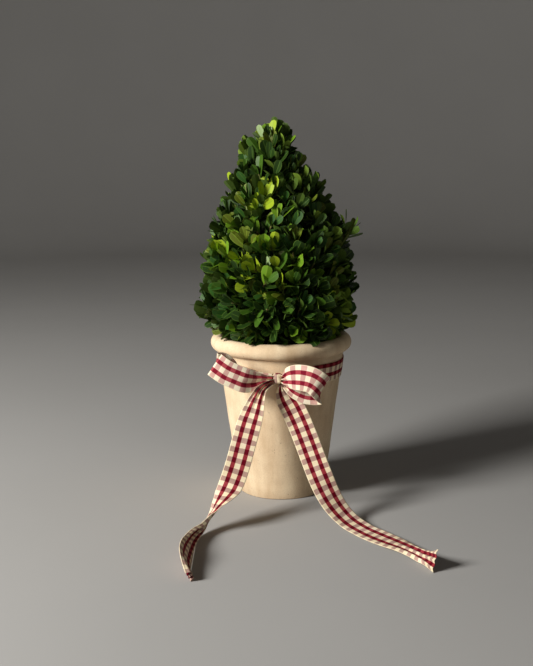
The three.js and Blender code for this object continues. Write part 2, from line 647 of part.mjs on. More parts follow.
const plant = new THREE.Group();
plant.add(namedMesh('trunk', trunk(), bark));
const wholeCore = crownCore();
TIERS.forEach((tier, index) => {
  for (let number = 0; number < tier.masses; number += 1) {
    const name = tier.masses > 1 ? `foliage_${tier.name}_${number + 1}` : `foliage_${tier.name}`;
    const look = (index + number) % 2 ? leafLight : leafGreen;
    plant.add(namedMesh(name, foliageMass(index, number, wholeCore), look));
  }
});
plant.children.forEach((piece) => leaning(piece.geometry));
topiary.add(plant);

topiary.add(namedMesh('ribbon_band', band(), gingham));
topiary.add(namedMesh('ribbon_knot', knot(), gingham));
topiary.add(namedMesh('bow_loop_left', strip(LOOP_LEFT, 24), gingham));
topiary.add(namedMesh('bow_loop_right', strip(LOOP_RIGHT, 24), gingham));
topiary.add(namedMesh('ribbon_tail_left', strip(TAIL_LEFT, 32), gingham));
topiary.add(namedMesh('ribbon_tail_right', strip(TAIL_RIGHT, 32), gingham));

export default topiary;
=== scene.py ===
"""A clipped boxwood cone in a rolled-rim clay pot, with a gingham ribbon tied round the pot in a bow."""
import math
import random
from collections import namedtuple

import bpy
import bmesh
import numpy as np
from mathutils import Matrix, Vector, noise


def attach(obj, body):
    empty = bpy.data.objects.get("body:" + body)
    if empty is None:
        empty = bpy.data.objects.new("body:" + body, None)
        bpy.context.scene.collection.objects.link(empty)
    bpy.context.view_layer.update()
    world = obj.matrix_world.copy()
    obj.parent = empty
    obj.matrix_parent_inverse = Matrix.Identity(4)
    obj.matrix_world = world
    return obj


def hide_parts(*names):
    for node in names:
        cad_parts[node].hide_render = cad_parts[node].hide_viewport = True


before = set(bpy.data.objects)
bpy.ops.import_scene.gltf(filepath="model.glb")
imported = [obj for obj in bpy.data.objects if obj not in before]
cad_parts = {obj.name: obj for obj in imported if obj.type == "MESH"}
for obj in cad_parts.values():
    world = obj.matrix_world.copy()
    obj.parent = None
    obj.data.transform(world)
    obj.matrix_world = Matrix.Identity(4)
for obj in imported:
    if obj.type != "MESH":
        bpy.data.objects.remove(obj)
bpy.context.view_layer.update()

MM = 0.001

# ---- sizes, in millimetres ----

POT_BASE_RADIUS = 46.3
POT_NECK_RADIUS = 66.7
POT_NECK_HEIGHT = 153.8
POT_FOOT_ROUND = 1.5
ROLL_RADIUS = 8.2
ROLL_CENTRE_RADIUS = 66.8
ROLL_CENTRE_HEIGHT = 162.5
POT_MOUTH_RADIUS = 57.0
POT_FLOOR = 10.0
POT_FLOOR_RADIUS = 38.5

TRUNK_FOOT = 148.3
TRUNK_TOP = 330.0
TRUNK_FLARE_RADIUS = 9.5
TRUNK_FOOT_RADIUS = 6.0
TRUNK_TIP_RADIUS = 3.0
LEAN = -0.038

CROWN_OUTLINE = [
    (158, 58), (170, 70), (185, 80), (205, 82), (235, 84), (262, 80), (290, 71),
    (305, 61), (325, 54), (347, 44), (362, 35), (376, 27), (388, 16), (397, 7),
]
LUMPS = [  # bearing, height, spread round, spread up, reach
    (-8, 346, 24, 9, 6),
    (188, 374, 34, 10, 6),
    (-14, 291, 9, 15, 28),
    (196, 203, 8, 12, 17),
    (78, 300, 26, 14, 5),
    (128, 240, 22, 16, 4),
    (12, 351, 58, 9, -14),
    (-122, 168, 7, 9, 10),
    (-57, 168, 7, 9, 10),
]
TIER_RISE = 0.3
TIERS = [  # name, level on the axis, masses, first bearing
    ("lower", 120, 4, -90),
    ("middle", 211, 4, -45),
    ("upper", 279, 3, -150),
    ("tip", 334, 1, 0),
]

RIBBON_WIDTH = 25.0
RIBBON_THICKNESS = 0.45


# ---- node building ----

def math_node(operation, swapped=False):
    """A method of Value that adds one Math node."""
    def method(self, *others):
        operands = (*others, self) if swapped else (self, *others)
        return self.maker.node("ShaderNodeMath", {"operation": operation}, operands)
    return method


class Value:
    """A socket whose arithmetic adds Math nodes."""

    def __init__(self, maker, socket):
        self.maker = maker
        self.socket = socket

    def __neg__(self):
        return self * -1.0

    __add__ = math_node("ADD")
    __radd__ = math_node("ADD", swapped=True)
    __sub__ = math_node("SUBTRACT")
    __rsub__ = math_node("SUBTRACT", swapped=True)
    __mul__ = math_node("MULTIPLY")
    __pow__ = math_node("POWER")
    __gt__ = math_node("GREATER_THAN")
    __lt__ = math_node("LESS_THAN")
    sine = math_node("SINE")
    fraction = math_node("FRACT")
    size = math_node("ABSOLUTE")
    sign = math_node("SIGN")


class Maker:
    """Adds nodes to one tree: a node's settings are set first, then the values or links of its sockets."""

    def __init__(self, tree):
        self.tree = tree

    def node(self, kind, settings=None, inputs=(), output=0):
        made = self.tree.nodes.new(kind)
        for name, value in (settings or {}).items():
            if name == "stops":
                self._stops(made.color_ramp, value)
            else:
                setattr(made, name, value)
        pairs = inputs.items() if isinstance(inputs, dict) else enumerate(inputs)
        for key, value in pairs:
            socket = made.inputs[key]
            if isinstance(value, Value):
                self.tree.links.new(value.socket, socket)
            else:
                socket.default_value = value
        return Value(self, made.outputs[output]) if made.outputs else made

    def joined(self, kind, parts):
        """Several geometries into the one socket of a node that takes many."""
        made = self.tree.nodes.new(kind)
        for part in parts:
            self.tree.links.new(part.socket, made.inputs[0])
        return Value(self, made.outputs[0])

    @staticmethod
    def _stops(ramp, stops):
        while len(ramp.elements) < len(stops):
            ramp.elements.new(1.0)
        for element, (place, color) in zip(ramp.elements, stops):
            element.position = place
            element.color = (*color, 1.0)

    def mix(self, factor, first, second):
        def plain(color):
            return (*color, 1.0) if isinstance(color, tuple) else color
        inputs = {0: factor, 6: plain(first), 7: plain(second)}
        return self.node("ShaderNodeMix", {"data_type": "RGBA"}, inputs, output=2)

    def ramp(self, factor, stops):
        return self.node("ShaderNodeValToRGB", {"stops": stops}, (factor,))

    def attribute(self, name, kind):
        return self.node("GeometryNodeInputNamedAttribute", {"data_type": kind}, {"Name": name})

    def axis(self, vector, index):
        return self.node("ShaderNodeSeparateXYZ", None, (vector,), output=index)

    def noise(self, where, scale, detail=3.0, roughness=0.5):
        inputs = {"Vector": where, "Scale": scale, "Detail": detail, "Roughness": roughness}
        return self.node("ShaderNodeTexNoise", None, inputs)

    def ease(self, value, low, high):
        """From 0 below the low value to 1 above the high one."""
        settings = {"interpolation_type": "SMOOTHSTEP"}
        return self.node("ShaderNodeMapRange", settings, {0: value, 1: low, 2: high})


def material(name, build, specular=0.5, **constants):
    """A material: build gives the varying sockets, and constants are set on the shader."""
    made = bpy.data.materials.new(name)
    made.use_nodes = True
    made.node_tree.nodes.clear()
    maker = Maker(made.node_tree)
    varying = build(maker)
    height = varying.pop("Height", None)
    if height is not None:
        strength, distance = varying.pop("Bump")
        varying["Normal"] = maker.node(
            "ShaderNodeBump", None, {"Strength": strength, "Distance": distance, "Height": height})
    sockets = {"Specular IOR Level": specular}
    sockets.update({key.replace("_", " "): value for key, value in constants.items()})
    sockets.update(varying)
    shader = maker.node("ShaderNodeBsdfPrincipled", None, sockets)
    maker.node("ShaderNodeOutputMaterial", None, {"Surface": shader})
    return made


# ---- materials ----

def object_place(maker):
    return maker.node("ShaderNodeTexCoord", None, (), output=3)


def stretched(maker, where, scale):
    return maker.node("ShaderNodeMapping", None, {"Vector": where, "Scale": scale})


CLAY_CREASE = 0.1525  # height in metres of the crease under the rim's roll
CLAY_GRAIN = (0.48, 0.33, 0.19)
# painted shade for the crease under the roll, also mixed in to darken the foot
CLAY_CREASE_SHADE_AND_FOOT = (0.38, 0.25, 0.15)
# painted shade in the pits
CLAY_PIT_SHADE = (0.26, 0.18, 0.11)


def whitewashed_clay(maker):
    """Sandy clay under a thin uneven limewash, with streaks and pits, painted shade in the crease under the
    roll and in the pits, and darker towards the foot.
    """
    where = object_place(maker)
    cloud = maker.noise(where, 16.0, 5.0, 0.6)
    blotch = maker.noise(where, 55.0, 4.0, 0.55)
    grain = maker.noise(where, 900.0, 3.0, 0.6)
    streak = maker.noise(stretched(maker, where, (90.0, 90.0, 9.0)), 1.0, 4.0, 0.6)
    pits = maker.node("ShaderNodeTexVoronoi", None, {"Vector": where, "Scale": 330.0})
    pit = 1.0 - maker.ease(pits, 0.05, 0.22)
    pit = pit * maker.ease(maker.noise(where, 120.0, 2.0), 0.55, 0.68)
    height = maker.axis(where, 2)
    # painted shade along the crease under the roll, where the roll's shade falls
    crease = 1.0 - maker.ease((height - CLAY_CREASE).size(), 0.0005, 0.006)
    foot = 1.0 - maker.ease(height, 0.001, 0.014)
    wash = maker.ramp(cloud * 0.36 + blotch * 0.27 + streak * 0.37, [
        (0.30, (0.60, 0.42, 0.245)), (0.45, (0.76, 0.575, 0.37)),
        (0.56, (0.86, 0.685, 0.46)), (0.72, (0.92, 0.775, 0.55))])
    color = maker.mix(maker.ease(grain, 0.35, 0.75) * 0.25, wash, CLAY_GRAIN)
    # mix in the painted crease shade, and darken towards the foot
    color = maker.mix(crease * 0.30 + foot * 0.3, color, CLAY_CREASE_SHADE_AND_FOOT)
    # painted shade darkens the pits
    color = maker.mix(pit * 0.8, color, CLAY_PIT_SHADE)
    relief = grain * 0.25 + blotch * 0.5 + streak * 0.35 - pit * 1.1
    return {"Base Color": color, "Roughness": 0.74 + blotch * 0.2, "Height": relief, "Bump": (0.45, 0.0007)}


def potting_mix(maker):
    crumbs = maker.noise(object_place(maker), 420.0, 5.0, 0.7)
    color = maker.ramp(crumbs, [
        (0.35, (0.010, 0.007, 0.005)), (0.6, (0.045, 0.03, 0.018)), (0.8, (0.12, 0.085, 0.05))])
    return {"Base Color": color, "Roughness": 0.95, "Height": crumbs, "Bump": (1.0, 0.003)}


def ridged_bark(maker):
    where = object_place(maker)
    ridges = maker.noise(stretched(maker, where, (600.0, 600.0, 90.0)), 1.0, 5.0, 0.65)
    lichen = maker.ease(maker.noise(where, 160.0), 0.55, 0.7)
    color = maker.ramp(ridges, [
        (0.3, (0.05, 0.035, 0.02)), (0.55, (0.16, 0.12, 0.07)), (0.75, (0.30, 0.25, 0.16))])
    color = maker.mix(lichen * 0.35, color, (0.27, 0.30, 0.18))
    return {"Base Color": color, "Roughness": 0.85, "Height": ridges, "Bump": (0.8, 0.0009)}


def green_twig(maker):
    patch = maker.noise(object_place(maker), 140.0)
    color = maker.mix(maker.ease(patch, 0.4, 0.6), (0.17, 0.22, 0.05), (0.20, 0.15, 0.06))
    return {"Base Color": color, "Roughness": 0.6 + patch * 0.2}


def heart_painted_shade(maker):
    patch = maker.noise(object_place(maker), 260.0, 4.0, 0.7)
    # near-black colour: painted shade inside the cone
    color = maker.mix(patch, (0.004, 0.008, 0.002), (0.02, 0.028, 0.008))
    return {"Base Color": color, "Roughness": 0.95, "Height": patch, "Bump": (1.0, 0.004)}


def waxy_leaf(maker):
    """The uneven gloss of a leathery leaf, whose colour is plain."""
    fleck = maker.noise(object_place(maker), 1100.0, 2.0)
    return {"Roughness": 0.40 + fleck * 0.2}


# The ribbon's threads, and the paler colour each goes to where the cloth fades at random and where light is
# painted on the bow's loops; burgundy pales only with that painted light.
CREAM, FADED_AND_LIT_CREAM = (0.90, 0.76, 0.51), (0.96, 0.89, 0.72)
MAUVE, FADED_AND_LIT_MAUVE = (0.45, 0.29, 0.235), (0.78, 0.45, 0.39)
RED, FADED_AND_LIT_RED = (0.29, 0.030, 0.040), (0.50, 0.09, 0.11)
BURGUNDY, LIT_BURGUNDY = (0.125, 0.001, 0.010), (0.36, 0.02, 0.05)
# painted shade between the threads of the weave
SHADE_BETWEEN_THREADS = (0.20, 0.12, 0.08)
SLUB = (0.92, 0.80, 0.56)
STRIPE_PLACE = 5.05 * MM  # from the ribbon's middle to the middle of a stripe
STRIPE_HALF = 2.2 * MM
BAR_PERIOD = 10.4 * MM
THREAD = 0.52 * MM
SELVAGE = (11.7 * MM, 12.0 * MM)  # from the ribbon's middle
# how far painted light pales the cloth of the bow's loops
LOOP_PAINTED_LIGHT = 0.5


def gingham_weave(maker, painted_light=0.0):
    """Two burgundy stripes along a cream ribbon, crossed by mauve bars that darken them."""
    place = maker.node("ShaderNodeUVMap", {"uv_map": "cut"})
    along = maker.axis(place, 0)
    across = maker.axis(place, 1)
    waver = (maker.noise(place, 150.0, 2.0) - 0.5) * (1.2 * MM)
    soft = 0.16 * MM
    from_middle = (across - RIBBON_WIDTH / 2 * MM).size()
    from_stripe = (from_middle + waver * 0.3 - STRIPE_PLACE).size()
    stripe = 1.0 - maker.ease(from_stripe, STRIPE_HALF - soft, STRIPE_HALF + soft)
    row = ((along + waver) * (1.0 / BAR_PERIOD)).fraction()
    bar = maker.ease((row - 0.5).size(), 0.25 - 0.02, 0.25 + 0.02)
    warp = (across * (math.tau / THREAD)).sine() * 0.5 + 0.5
    weft = (along * (math.tau / THREAD)).sine() * 0.5 + 0.5
    bleached = maker.ease(maker.noise(place, 70.0, 2.0), 0.45, 0.75)
    # paler where the cloth fades at random, and with painted light on the loops
    faded_and_lit = bleached * 0.5 + painted_light
    cream = maker.mix(faded_and_lit, CREAM, FADED_AND_LIT_CREAM)
    mauve = maker.mix(faded_and_lit, MAUVE, FADED_AND_LIT_MAUVE)
    red = maker.mix(faded_and_lit, RED, FADED_AND_LIT_RED)
    # burgundy pales only with the loops' painted light
    burgundy = maker.mix(painted_light * 0.7, BURGUNDY, LIT_BURGUNDY)
    color = maker.mix(stripe, maker.mix(bar, cream, mauve), maker.mix(bar, red, burgundy))
    # painted shade in the gaps between threads, mostly on the pale cloth
    thread_gap_shade = (1.0 - warp) * (1.0 - weft) * (1.0 - stripe * 0.9) * 0.25
    color = maker.mix(thread_gap_shade, color, SHADE_BETWEEN_THREADS)
    slub = maker.noise(stretched(maker, place, (400.0, 2600.0, 1.0)), 1.0, 2.0)
    selvage = maker.ease(from_middle, *SELVAGE)
    slubs = maker.ease(slub, 0.5, 0.8) * (1.0 - stripe * 0.9) * 0.12
    color = maker.mix(slubs + selvage * 0.6, color, SLUB)
    relief = warp * 0.5 + weft * 0.5
    return {"Base Color": color, "Roughness": 0.74 + slub * 0.14, "Height": relief, "Bump": (0.3, 0.00012)}


# the loops' copy of the gingham, paled with painted light
def lit_gingham_weave(maker):
    return gingham_weave(maker, LOOP_PAINTED_LIGHT)


CLAY = material("limewashed clay", whitewashed_clay, 0.25)
SOIL = material("potting mix", potting_mix, 0.2)
BARK = material("boxwood bark", ridged_bark, 0.25)
TWIG = material("green twig", green_twig, 0.3)
HEART = material("painted shade heart", heart_painted_shade, 0.1)
GINGHAM = material("burgundy gingham", gingham_weave, 0.06)
LIT_GINGHAM = material("faded gingham", lit_gingham_weave, 0.06)

Tone = namedtuple("Tone", "name color edge back share flush")
LEAF_TONES = [
    Tone("deep", (0.014, 0.040, 0.003), "dim midrib and rim light", "dull back", 0.33, -0.9),
    Tone("mid", (0.042, 0.105, 0.007), "dim midrib and rim light", "dull back", 0.28, -0.2),
    Tone("sea", (0.024, 0.082, 0.011), "dim midrib and rim light", "dull back", 0.08, -0.6),
    Tone("olive", (0.098, 0.128, 0.008), "bright midrib and rim light", "dull back", 0.13, 0.5),
    Tone("fresh", (0.125, 0.250, 0.010), "bright midrib and rim light", "fresh back", 0.12, 1.3),
    Tone("lime", (0.310, 0.420, 0.016), "bright midrib and rim light", "fresh back", 0.05, 2.2),
    # a pale grey-green tone that paints the leaves' soft highlight: painted sheen
    Tone("painted sheen", (0.270, 0.370, 0.170), "bright midrib and rim light", "fresh back", 0.03, 0.0),
]
# edge colours paint the midrib and a highlight along the rim; the backs are the undersides
LEAF_EXTRAS = [
    ("dim midrib and rim light", (0.080, 0.150, 0.018)),
    ("bright midrib and rim light", (0.205, 0.315, 0.030)),
    ("dull back", (0.065, 0.115, 0.016)),
    ("fresh back", (0.165, 0.265, 0.030)),
]
FLUSH_SIZE = 46.0
OLD_LEAF = 0  # the deep tone, which older leaves darken to
# Each shape's fold along the midrib and curl towards the point, in mm.
LEAF_SHAPES = [(1.5, 1.5), (-0.8, 2.6), (2.4, -1.0), (0.5, 0.6), (-1.4, 0.8)]
LEAF_COLORS = dict([(tone.name, tone.color) for tone in LEAF_TONES] + LEAF_EXTRAS)
LEAF_LOOKS = list(LEAF_COLORS)
LEAF_MATERIALS = [
    material(f"boxwood leaf {look}", waxy_leaf, 0.26, Base_Color=(*color, 1.0))
    for look, color in LEAF_COLORS.items()]


# ---- meshes ----

def in_scene(name, data):
    made = bpy.data.objects.new(name, data)
    bpy.context.scene.collection.objects.link(made)
    return made


def piece(name, mesh, node_names, slot, *materials):
    """A piece on the topiary's one body, standing for the named CAD nodes."""
    made = in_scene(name, mesh)
    for look in materials:
        made.data.materials.append(look)
    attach(made, "root")
    if node_names:
        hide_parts(*node_names)
    return made


def mesh_from(name, points, faces):
    mesh = bpy.data.meshes.new(name)
    mesh.from_pydata([tuple(point) for point in points], [], faces)
    mesh.validate()
    mesh.shade_smooth()
    return mesh


def around_axis(radius, angle, height):
    return Vector((radius * math.cos(angle), radius * math.sin(angle), height))


def turned_mesh(name, profile, sides, bend):
    """A solid of revolution from radius and height pairs in mm that start and end on the axis."""
    points = [Vector((0, 0, profile[0][1]))]
    for radius, height in profile[1:-1]:
        for side in range(sides):
            angle = math.tau * side / sides
            points.append(bend(around_axis(radius, angle, height), radius, angle, height))
    points.append(Vector((0, 0, profile[-1][1])))
    rings = len(profile) - 2
    faces = []
    for side in range(sides):
        after = (side + 1) % sides
        faces.append((0, 1 + after, 1 + side))
        for ring in range(rings - 1):
            low = 1 + ring * sides
            high = low + sides
            faces.append((low + side, low + after, high + after, high + side))
        last = 1 + (rings - 1) * sides
        faces.append((len(points) - 1, last + side, last + after))
    return mesh_from(name, [point * MM for point in points], faces)


def arc(centre, radius, start, stop, steps):
    turns = [start + (stop - start) * i / steps for i in range(steps + 1)]
    return [(centre[0] + radius * math.cos(t), centre[1] + radius * math.sin(t)) for t in turns]


def line(start, stop, steps):
    """Points from start up to, and without, stop."""
    return [(start[0] + (stop[0] - start[0]) * i / steps, start[1] + (stop[1] - start[1]) * i / steps)
            for i in range(steps)]


def pot_radius(height):
    return POT_BASE_RADIUS + (POT_NECK_RADIUS - POT_BASE_RADIUS) * height / POT_NECK_HEIGHT


def pot_profile():
    foot = (POT_BASE_RADIUS - POT_FOOT_ROUND, POT_FOOT_ROUND)
    crease = math.atan2(POT_NECK_HEIGHT - ROLL_CENTRE_HEIGHT, POT_NECK_RADIUS - ROLL_CENTRE_RADIUS)
    roll = (ROLL_CENTRE_RADIUS, ROLL_CENTRE_HEIGHT)
    wall_foot = 4
    wall_top = POT_NECK_HEIGHT - 1.2
    profile = [(0, 0), (15, 0), (30, 0), (POT_BASE_RADIUS - POT_FOOT_ROUND - 3, 0)]
    profile += arc(foot, POT_FOOT_ROUND, -math.pi / 2, 0, 4)
    profile += line((pot_radius(wall_foot), wall_foot), (POT_NECK_RADIUS, wall_top), 30)
    profile += [(POT_NECK_RADIUS - 0.2, wall_top), (POT_NECK_RADIUS + 0.1, POT_NECK_HEIGHT - 0.2)]
    profile += arc(roll, ROLL_RADIUS, crease + 0.1, math.pi, 26)
    profile += line((POT_MOUTH_RADIUS - 0.3, POT_NECK_HEIGHT), (POT_FLOOR_RADIUS, POT_FLOOR), 8)
    return profile + [(POT_FLOOR_RADIUS, POT_FLOOR), (0, POT_FLOOR)]


def hand_thrown(point, radius, angle, height):
    """The wall wavers a little, as on a pot finished by hand; its foot stays flat."""
    if radius < 50 and height < 2:
        return point
    waver = 0.28 * math.sin(2 * angle + 0.7) + 0.16 * math.sin(5 * angle + height / 21)
    waver += 0.10 * math.sin(height / 5.5 + 1.4 * math.sin(angle)) + 0.07 * math.sin(9 * angle - height / 11)
    share = 1 + waver * min(1.0, height / 12) / radius
    return Vector((point.x * share, point.y * share, point.z))


def trunk_radius(height):
    share = (height - TRUNK_FOOT) / (TRUNK_TOP - TRUNK_FOOT)
    flare = (TRUNK_FLARE_RADIUS - TRUNK_FOOT_RADIUS) * math.exp(-(height - TRUNK_FOOT) / 5)
    return TRUNK_FOOT_RADIUS + (TRUNK_TIP_RADIUS - TRUNK_FOOT_RADIUS) * share + flare


def leaned(point):
    return Vector((point.x + LEAN * (point.z - TRUNK_FOOT), point.y, point.z))


def barked(point, radius, angle, height):
    ridge = 0.35 * math.sin(7 * angle + height / 9) + 0.2 * math.sin(13 * angle - height / 6)
    share = 1 + ridge * min(1, radius / 5) / radius
    return leaned(Vector((point.x * share, point.y * share, point.z)))


def trunk_profile():
    heights = [TRUNK_FOOT + (TRUNK_TOP - TRUNK_FOOT) * (i / 60) ** 1.3 for i in range(61)]
    return [(0, TRUNK_FOOT)] + [(trunk_radius(height), height) for height in heights] + [(0, TRUNK_TOP)]


POT_SIDES = 144
TRUNK_SIDES = 28
piece("clay_pot", turned_mesh("clay_pot", pot_profile(), POT_SIDES, hand_thrown), ["pot"], "clay", CLAY)
bark = turned_mesh("boxwood_trunk", trunk_profile(), TRUNK_SIDES, barked)
piece("boxwood_trunk", bark, ["trunk"], "bark", BARK)
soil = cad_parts["soil"]
soil.data.materials.clear()
soil.data.materials.append(SOIL)


# ---- crown ----

HEART_INSET = 25
TWIG_SPACING = 16.0
ROW_SHARE = 0.8
TWIG_INSET = 16.5
TOP_RING = 5
KNEE_BACK = 20.0
TIP_TWIG_HEIGHT = 374
CROWN_TOP = 395
ABOVE_CROWN = 500
STEM_RISE = 12
STEM_LOWEST = 152
STEM_INSET = 35
NODE_STEP = 5.4
LEAF_PAIRS = 4
LEAF_LENGTH = 22.0
LEAF_WIDTH = 10.4
RIM_CLEARANCE = 0.8
OVERHANG = 4.5
LEAF_SIZES = (0.72, 1.2)
LEAF_BREADTHS = (0.78, 1.12)
FACING_OUT = (-0.05, 0.8)
LEAF_TILT = 0.6
FIRST_SPREAD, SPREAD_STEP, SPREAD_PLAY = 18, 11, 18  # degrees between a leaf and its twig
ROLL_TRIES = (0.0, 0.6, -0.6, 1.2)
SPRAY_SHARE = 0.66  # of a spray's leaves have its tone
OLD_SHARE = 0.55  # of a spray's inner leaves are old
FIRST_SEED = 4100
CLIMB = [(165, -6), (190, 18), (240, 44), (300, 66), (400, 72)]  # height, degrees above level
SHOOTS = [  # bearing, height, radius
    (-14, 281, 80), (196, 200, 77), (-8, 333, 42), (188, 360, 27),
    (190, 188, 75), (-122, 176, 66), (-57, 176, 66), (-90, 374, 9), (40, 374, 8),
]


def outline_radius(height):
    return 0.0 if height > CROWN_TOP else float(np.interp(height, *zip(*CROWN_OUTLINE)))


def reach_at(height, bearing):
    reach = outline_radius(height)
    for middle, level, turn, rise, size in LUMPS:
        across = ((bearing - middle + 540) % 360 - 180) / turn
        reach += size * math.exp(-across ** 2 - ((height - level) / rise) ** 2)
    return reach


def polar(radius, bearing, height):
    return around_axis(radius, math.radians(bearing), height)


def bearing_of(point):
    return math.degrees(math.atan2(point.y, point.x))


def clear_of_rim(point):
    radius = math.hypot(point.x, point.y)
    to_roll = math.hypot(radius - ROLL_CENTRE_RADIUS, point.z - ROLL_CENTRE_HEIGHT)
    outside = radius > ROLL_CENTRE_RADIUS + ROLL_RADIUS + RIM_CLEARANCE
    beside = radius < POT_MOUTH_RADIUS - 2 or outside
    return to_roll > ROLL_RADIUS + RIM_CLEARANCE and (point.z > ROLL_CENTRE_HEIGHT or beside)


def in_reach(point, slack):
    radius = math.hypot(point.x, point.y)
    return radius < reach_at(point.z, bearing_of(point)) + slack and clear_of_rim(point)


class Mass:
    """One mass of foliage: the twigs and leaves that it gathers."""

    def __init__(self, tier, number):
        self.name, self.low, self.count, first = TIERS[tier]
        self.high = TIERS[tier + 1][1] if tier + 1 < len(TIERS) else ABOVE_CROWN
        self.number = number
        self.turn = 360 / self.count
        self.start = first + self.turn * number
        self.twigs = []
        self.leaves = []
        self.is_tip = self.count == 1
        self.random = random.Random(FIRST_SEED + 100 * tier + number)

    def play(self, size):
        """A random shift of up to half the size, either way."""
        return size * (self.random.random() - 0.5)

    def title(self):
        return self.name if self.is_tip else f"{self.name}_{self.number + 1}"

    def holds(self, point):
        level = point.z - TIER_RISE * math.hypot(point.x, point.y)
        turned = (bearing_of(point) - self.start) % 360
        return self.low <= level < self.high and (self.is_tip or turned < self.turn)

    def stem(self):
        if self.is_tip:
            return Vector((0, 0, TRUNK_TOP + 0.3)), Vector((0, 0, TIP_TWIG_HEIGHT - 12))
        level = max(self.low, STEM_LOWEST) * 0.6 + self.high * 0.4
        end = level + STEM_RISE
        middle = self.start + self.turn / 2
        root = polar(trunk_radius(level) + 0.4, middle, level)
        return root, polar(outline_radius(end) - STEM_INSET, middle, end)

    def twig_tips(self):
        tips = [polar(radius, bearing, height) for bearing, height, radius in SHOOTS]
        tips = [tip for tip in tips if self.holds(tip)]
        height = CROWN_OUTLINE[1][0] + 1.0
        while height < TIP_TWIG_HEIGHT + 4:
            ring = max(outline_radius(height) - TWIG_INSET, TOP_RING)
            count = max(1, round(self.turn / 360 * math.tau * (ring + 5) / TWIG_SPACING))
            for i in range(count):
                bearing = self.start + self.turn * (i + 0.5 + self.play(0.8)) / count
                level = height + self.play(10)
                inset = TWIG_INSET + 9 * (self.random.random() - 0.4)
                tip = polar(max(reach_at(level, bearing) - inset, 1.5), bearing, level)
                if self.holds(tip) and clear_of_rim(tip):
                    tips.append(tip)
            height += TWIG_SPACING * ROW_SHARE
        return tips

    def grow(self):
        root, end = self.stem()
        self.twigs.append(([root, end], [2.2, 1.4]))
        for tip in self.twig_tips():
            way = self.climbing(tip)
            knee = tip - way * KNEE_BACK
            share = self.random.uniform(0.35, 1.0)
            fork = root.lerp(end, share)
            bend = knee.lerp(fork, 0.4) - Vector((0, 0, 2))
            self.twigs.append(([fork, bend, knee, tip], [1.2, 1.0, 0.75, 0.45]))
            self.leaf_pairs(tip, way)

    def climbing(self, tip):
        radius = math.hypot(tip.x, tip.y)
        climb = math.radians(float(np.interp(tip.z, *zip(*CLIMB))) + self.play(36))
        bearing = bearing_of(tip) + self.play(70)
        if radius < 9:
            climb = math.radians(self.random.uniform(68, 90))
        return polar(math.cos(climb), bearing, math.sin(climb))

    def leaf_pairs(self, tip, way):
        side = Vector((0, 0, 1)).cross(way)
        side = side.normalized() if side.length > 0.2 else Vector((1, 0, 0)).cross(way).normalized()
        outward = polar(1.0, bearing_of(tip), 0.25).normalized()
        fullness = float(np.interp(tip.z, (200, 300), (1.18, 0.95)))
        turn = self.random.uniform(0, math.pi)
        spray = self.pick_tone(tip)
        for pair in range(LEAF_PAIRS):
            root = tip - way * (NODE_STEP * pair + 0.3)
            spread = math.radians(FIRST_SPREAD + SPREAD_STEP * pair + self.play(SPREAD_PLAY))
            for half in (0, 1):
                roll = turn + math.pi / 2 * pair + math.pi * half + self.play(0.7)
                tone = spray if self.random.random() < SPRAY_SHARE else self.pick_tone(tip)
                if pair > 1 and self.random.random() < OLD_SHARE:
                    tone = OLD_LEAF
                size = self.random.uniform(*LEAF_SIZES) * (0.8 if pair == 0 else 1.0)
                broad = self.random.uniform(*LEAF_BREADTHS) * fullness
                facing = way.lerp(outward, self.random.uniform(*FACING_OUT))
                tilt = self.random.uniform(-LEAF_TILT, LEAF_TILT)
                slack = OVERHANG * self.random.random()
                shape = self.random.randrange(len(LEAF_SHAPES))
                for shift in ROLL_TRIES:
                    away = Matrix.Rotation(roll + shift, 3, way) @ side
                    along = way * math.cos(spread) + away * math.sin(spread)
                    if self.place_leaf(root, along, facing, (size, broad), tilt, slack, tone, shape):
                        break

    def place_leaf(self, root, along, facing, sizes, tilt, slack, tone, shape):
        across = facing.cross(along).normalized()
        up = along.cross(across)
        basis = Matrix((along, across, up)).transposed()
        basis = basis @ Matrix.Rotation(tilt, 3, "X")
        size, broad = sizes
        length = LEAF_LENGTH * size
        width = LEAF_WIDTH * size * broad
        for forward, sideways in ((1.0, 0.0), (0.65, 0.5), (0.65, -0.5)):
            corner = root + basis @ Vector((length * forward, width * sideways, 0))
            if not in_reach(corner, slack):
                return False
        self.leaves.append((root, basis.to_euler(), (size, size * broad, size), tone, shape))
        return True

    def pick_tone(self, place):
        """The tone of a spray: young growth comes in flushes, so the bright tones gather in places."""
        flush = noise.noise(place / FLUSH_SIZE) * 1.4 + self.random.uniform(-0.75, 0.75)
        shares = [tone.share * math.exp(tone.flush * flush) for tone in LEAF_TONES]
        return self.random.choices(range(len(shares)), shares)[0]


# ---- geometry nodes ----

def new_tree(name, inputs):
    """A geometry tree with named inputs; gives the tree, its maker and the group input's sockets."""
    tree = bpy.data.node_groups.new(name, "GeometryNodeTree")
    tree.interface.new_socket("Geometry", in_out="INPUT", socket_type="NodeSocketGeometry")
    for label, kind, value in inputs:
        socket = tree.interface.new_socket(label, in_out="INPUT", socket_type=kind)
        socket.default_value = value
    tree.interface.new_socket("Geometry", in_out="OUTPUT", socket_type="NodeSocketGeometry")
    maker = Maker(tree)
    entry = tree.nodes.new("NodeGroupInput")
    sockets = {socket.name: Value(maker, socket) for socket in entry.outputs if socket.name}
    return tree, maker, sockets


# the edge part is the midrib and the rim, whose pale colour is a painted highlight
BLADE, EDGE, BACK = 0, 1, 2  # the parts of a leaf that have their own colour


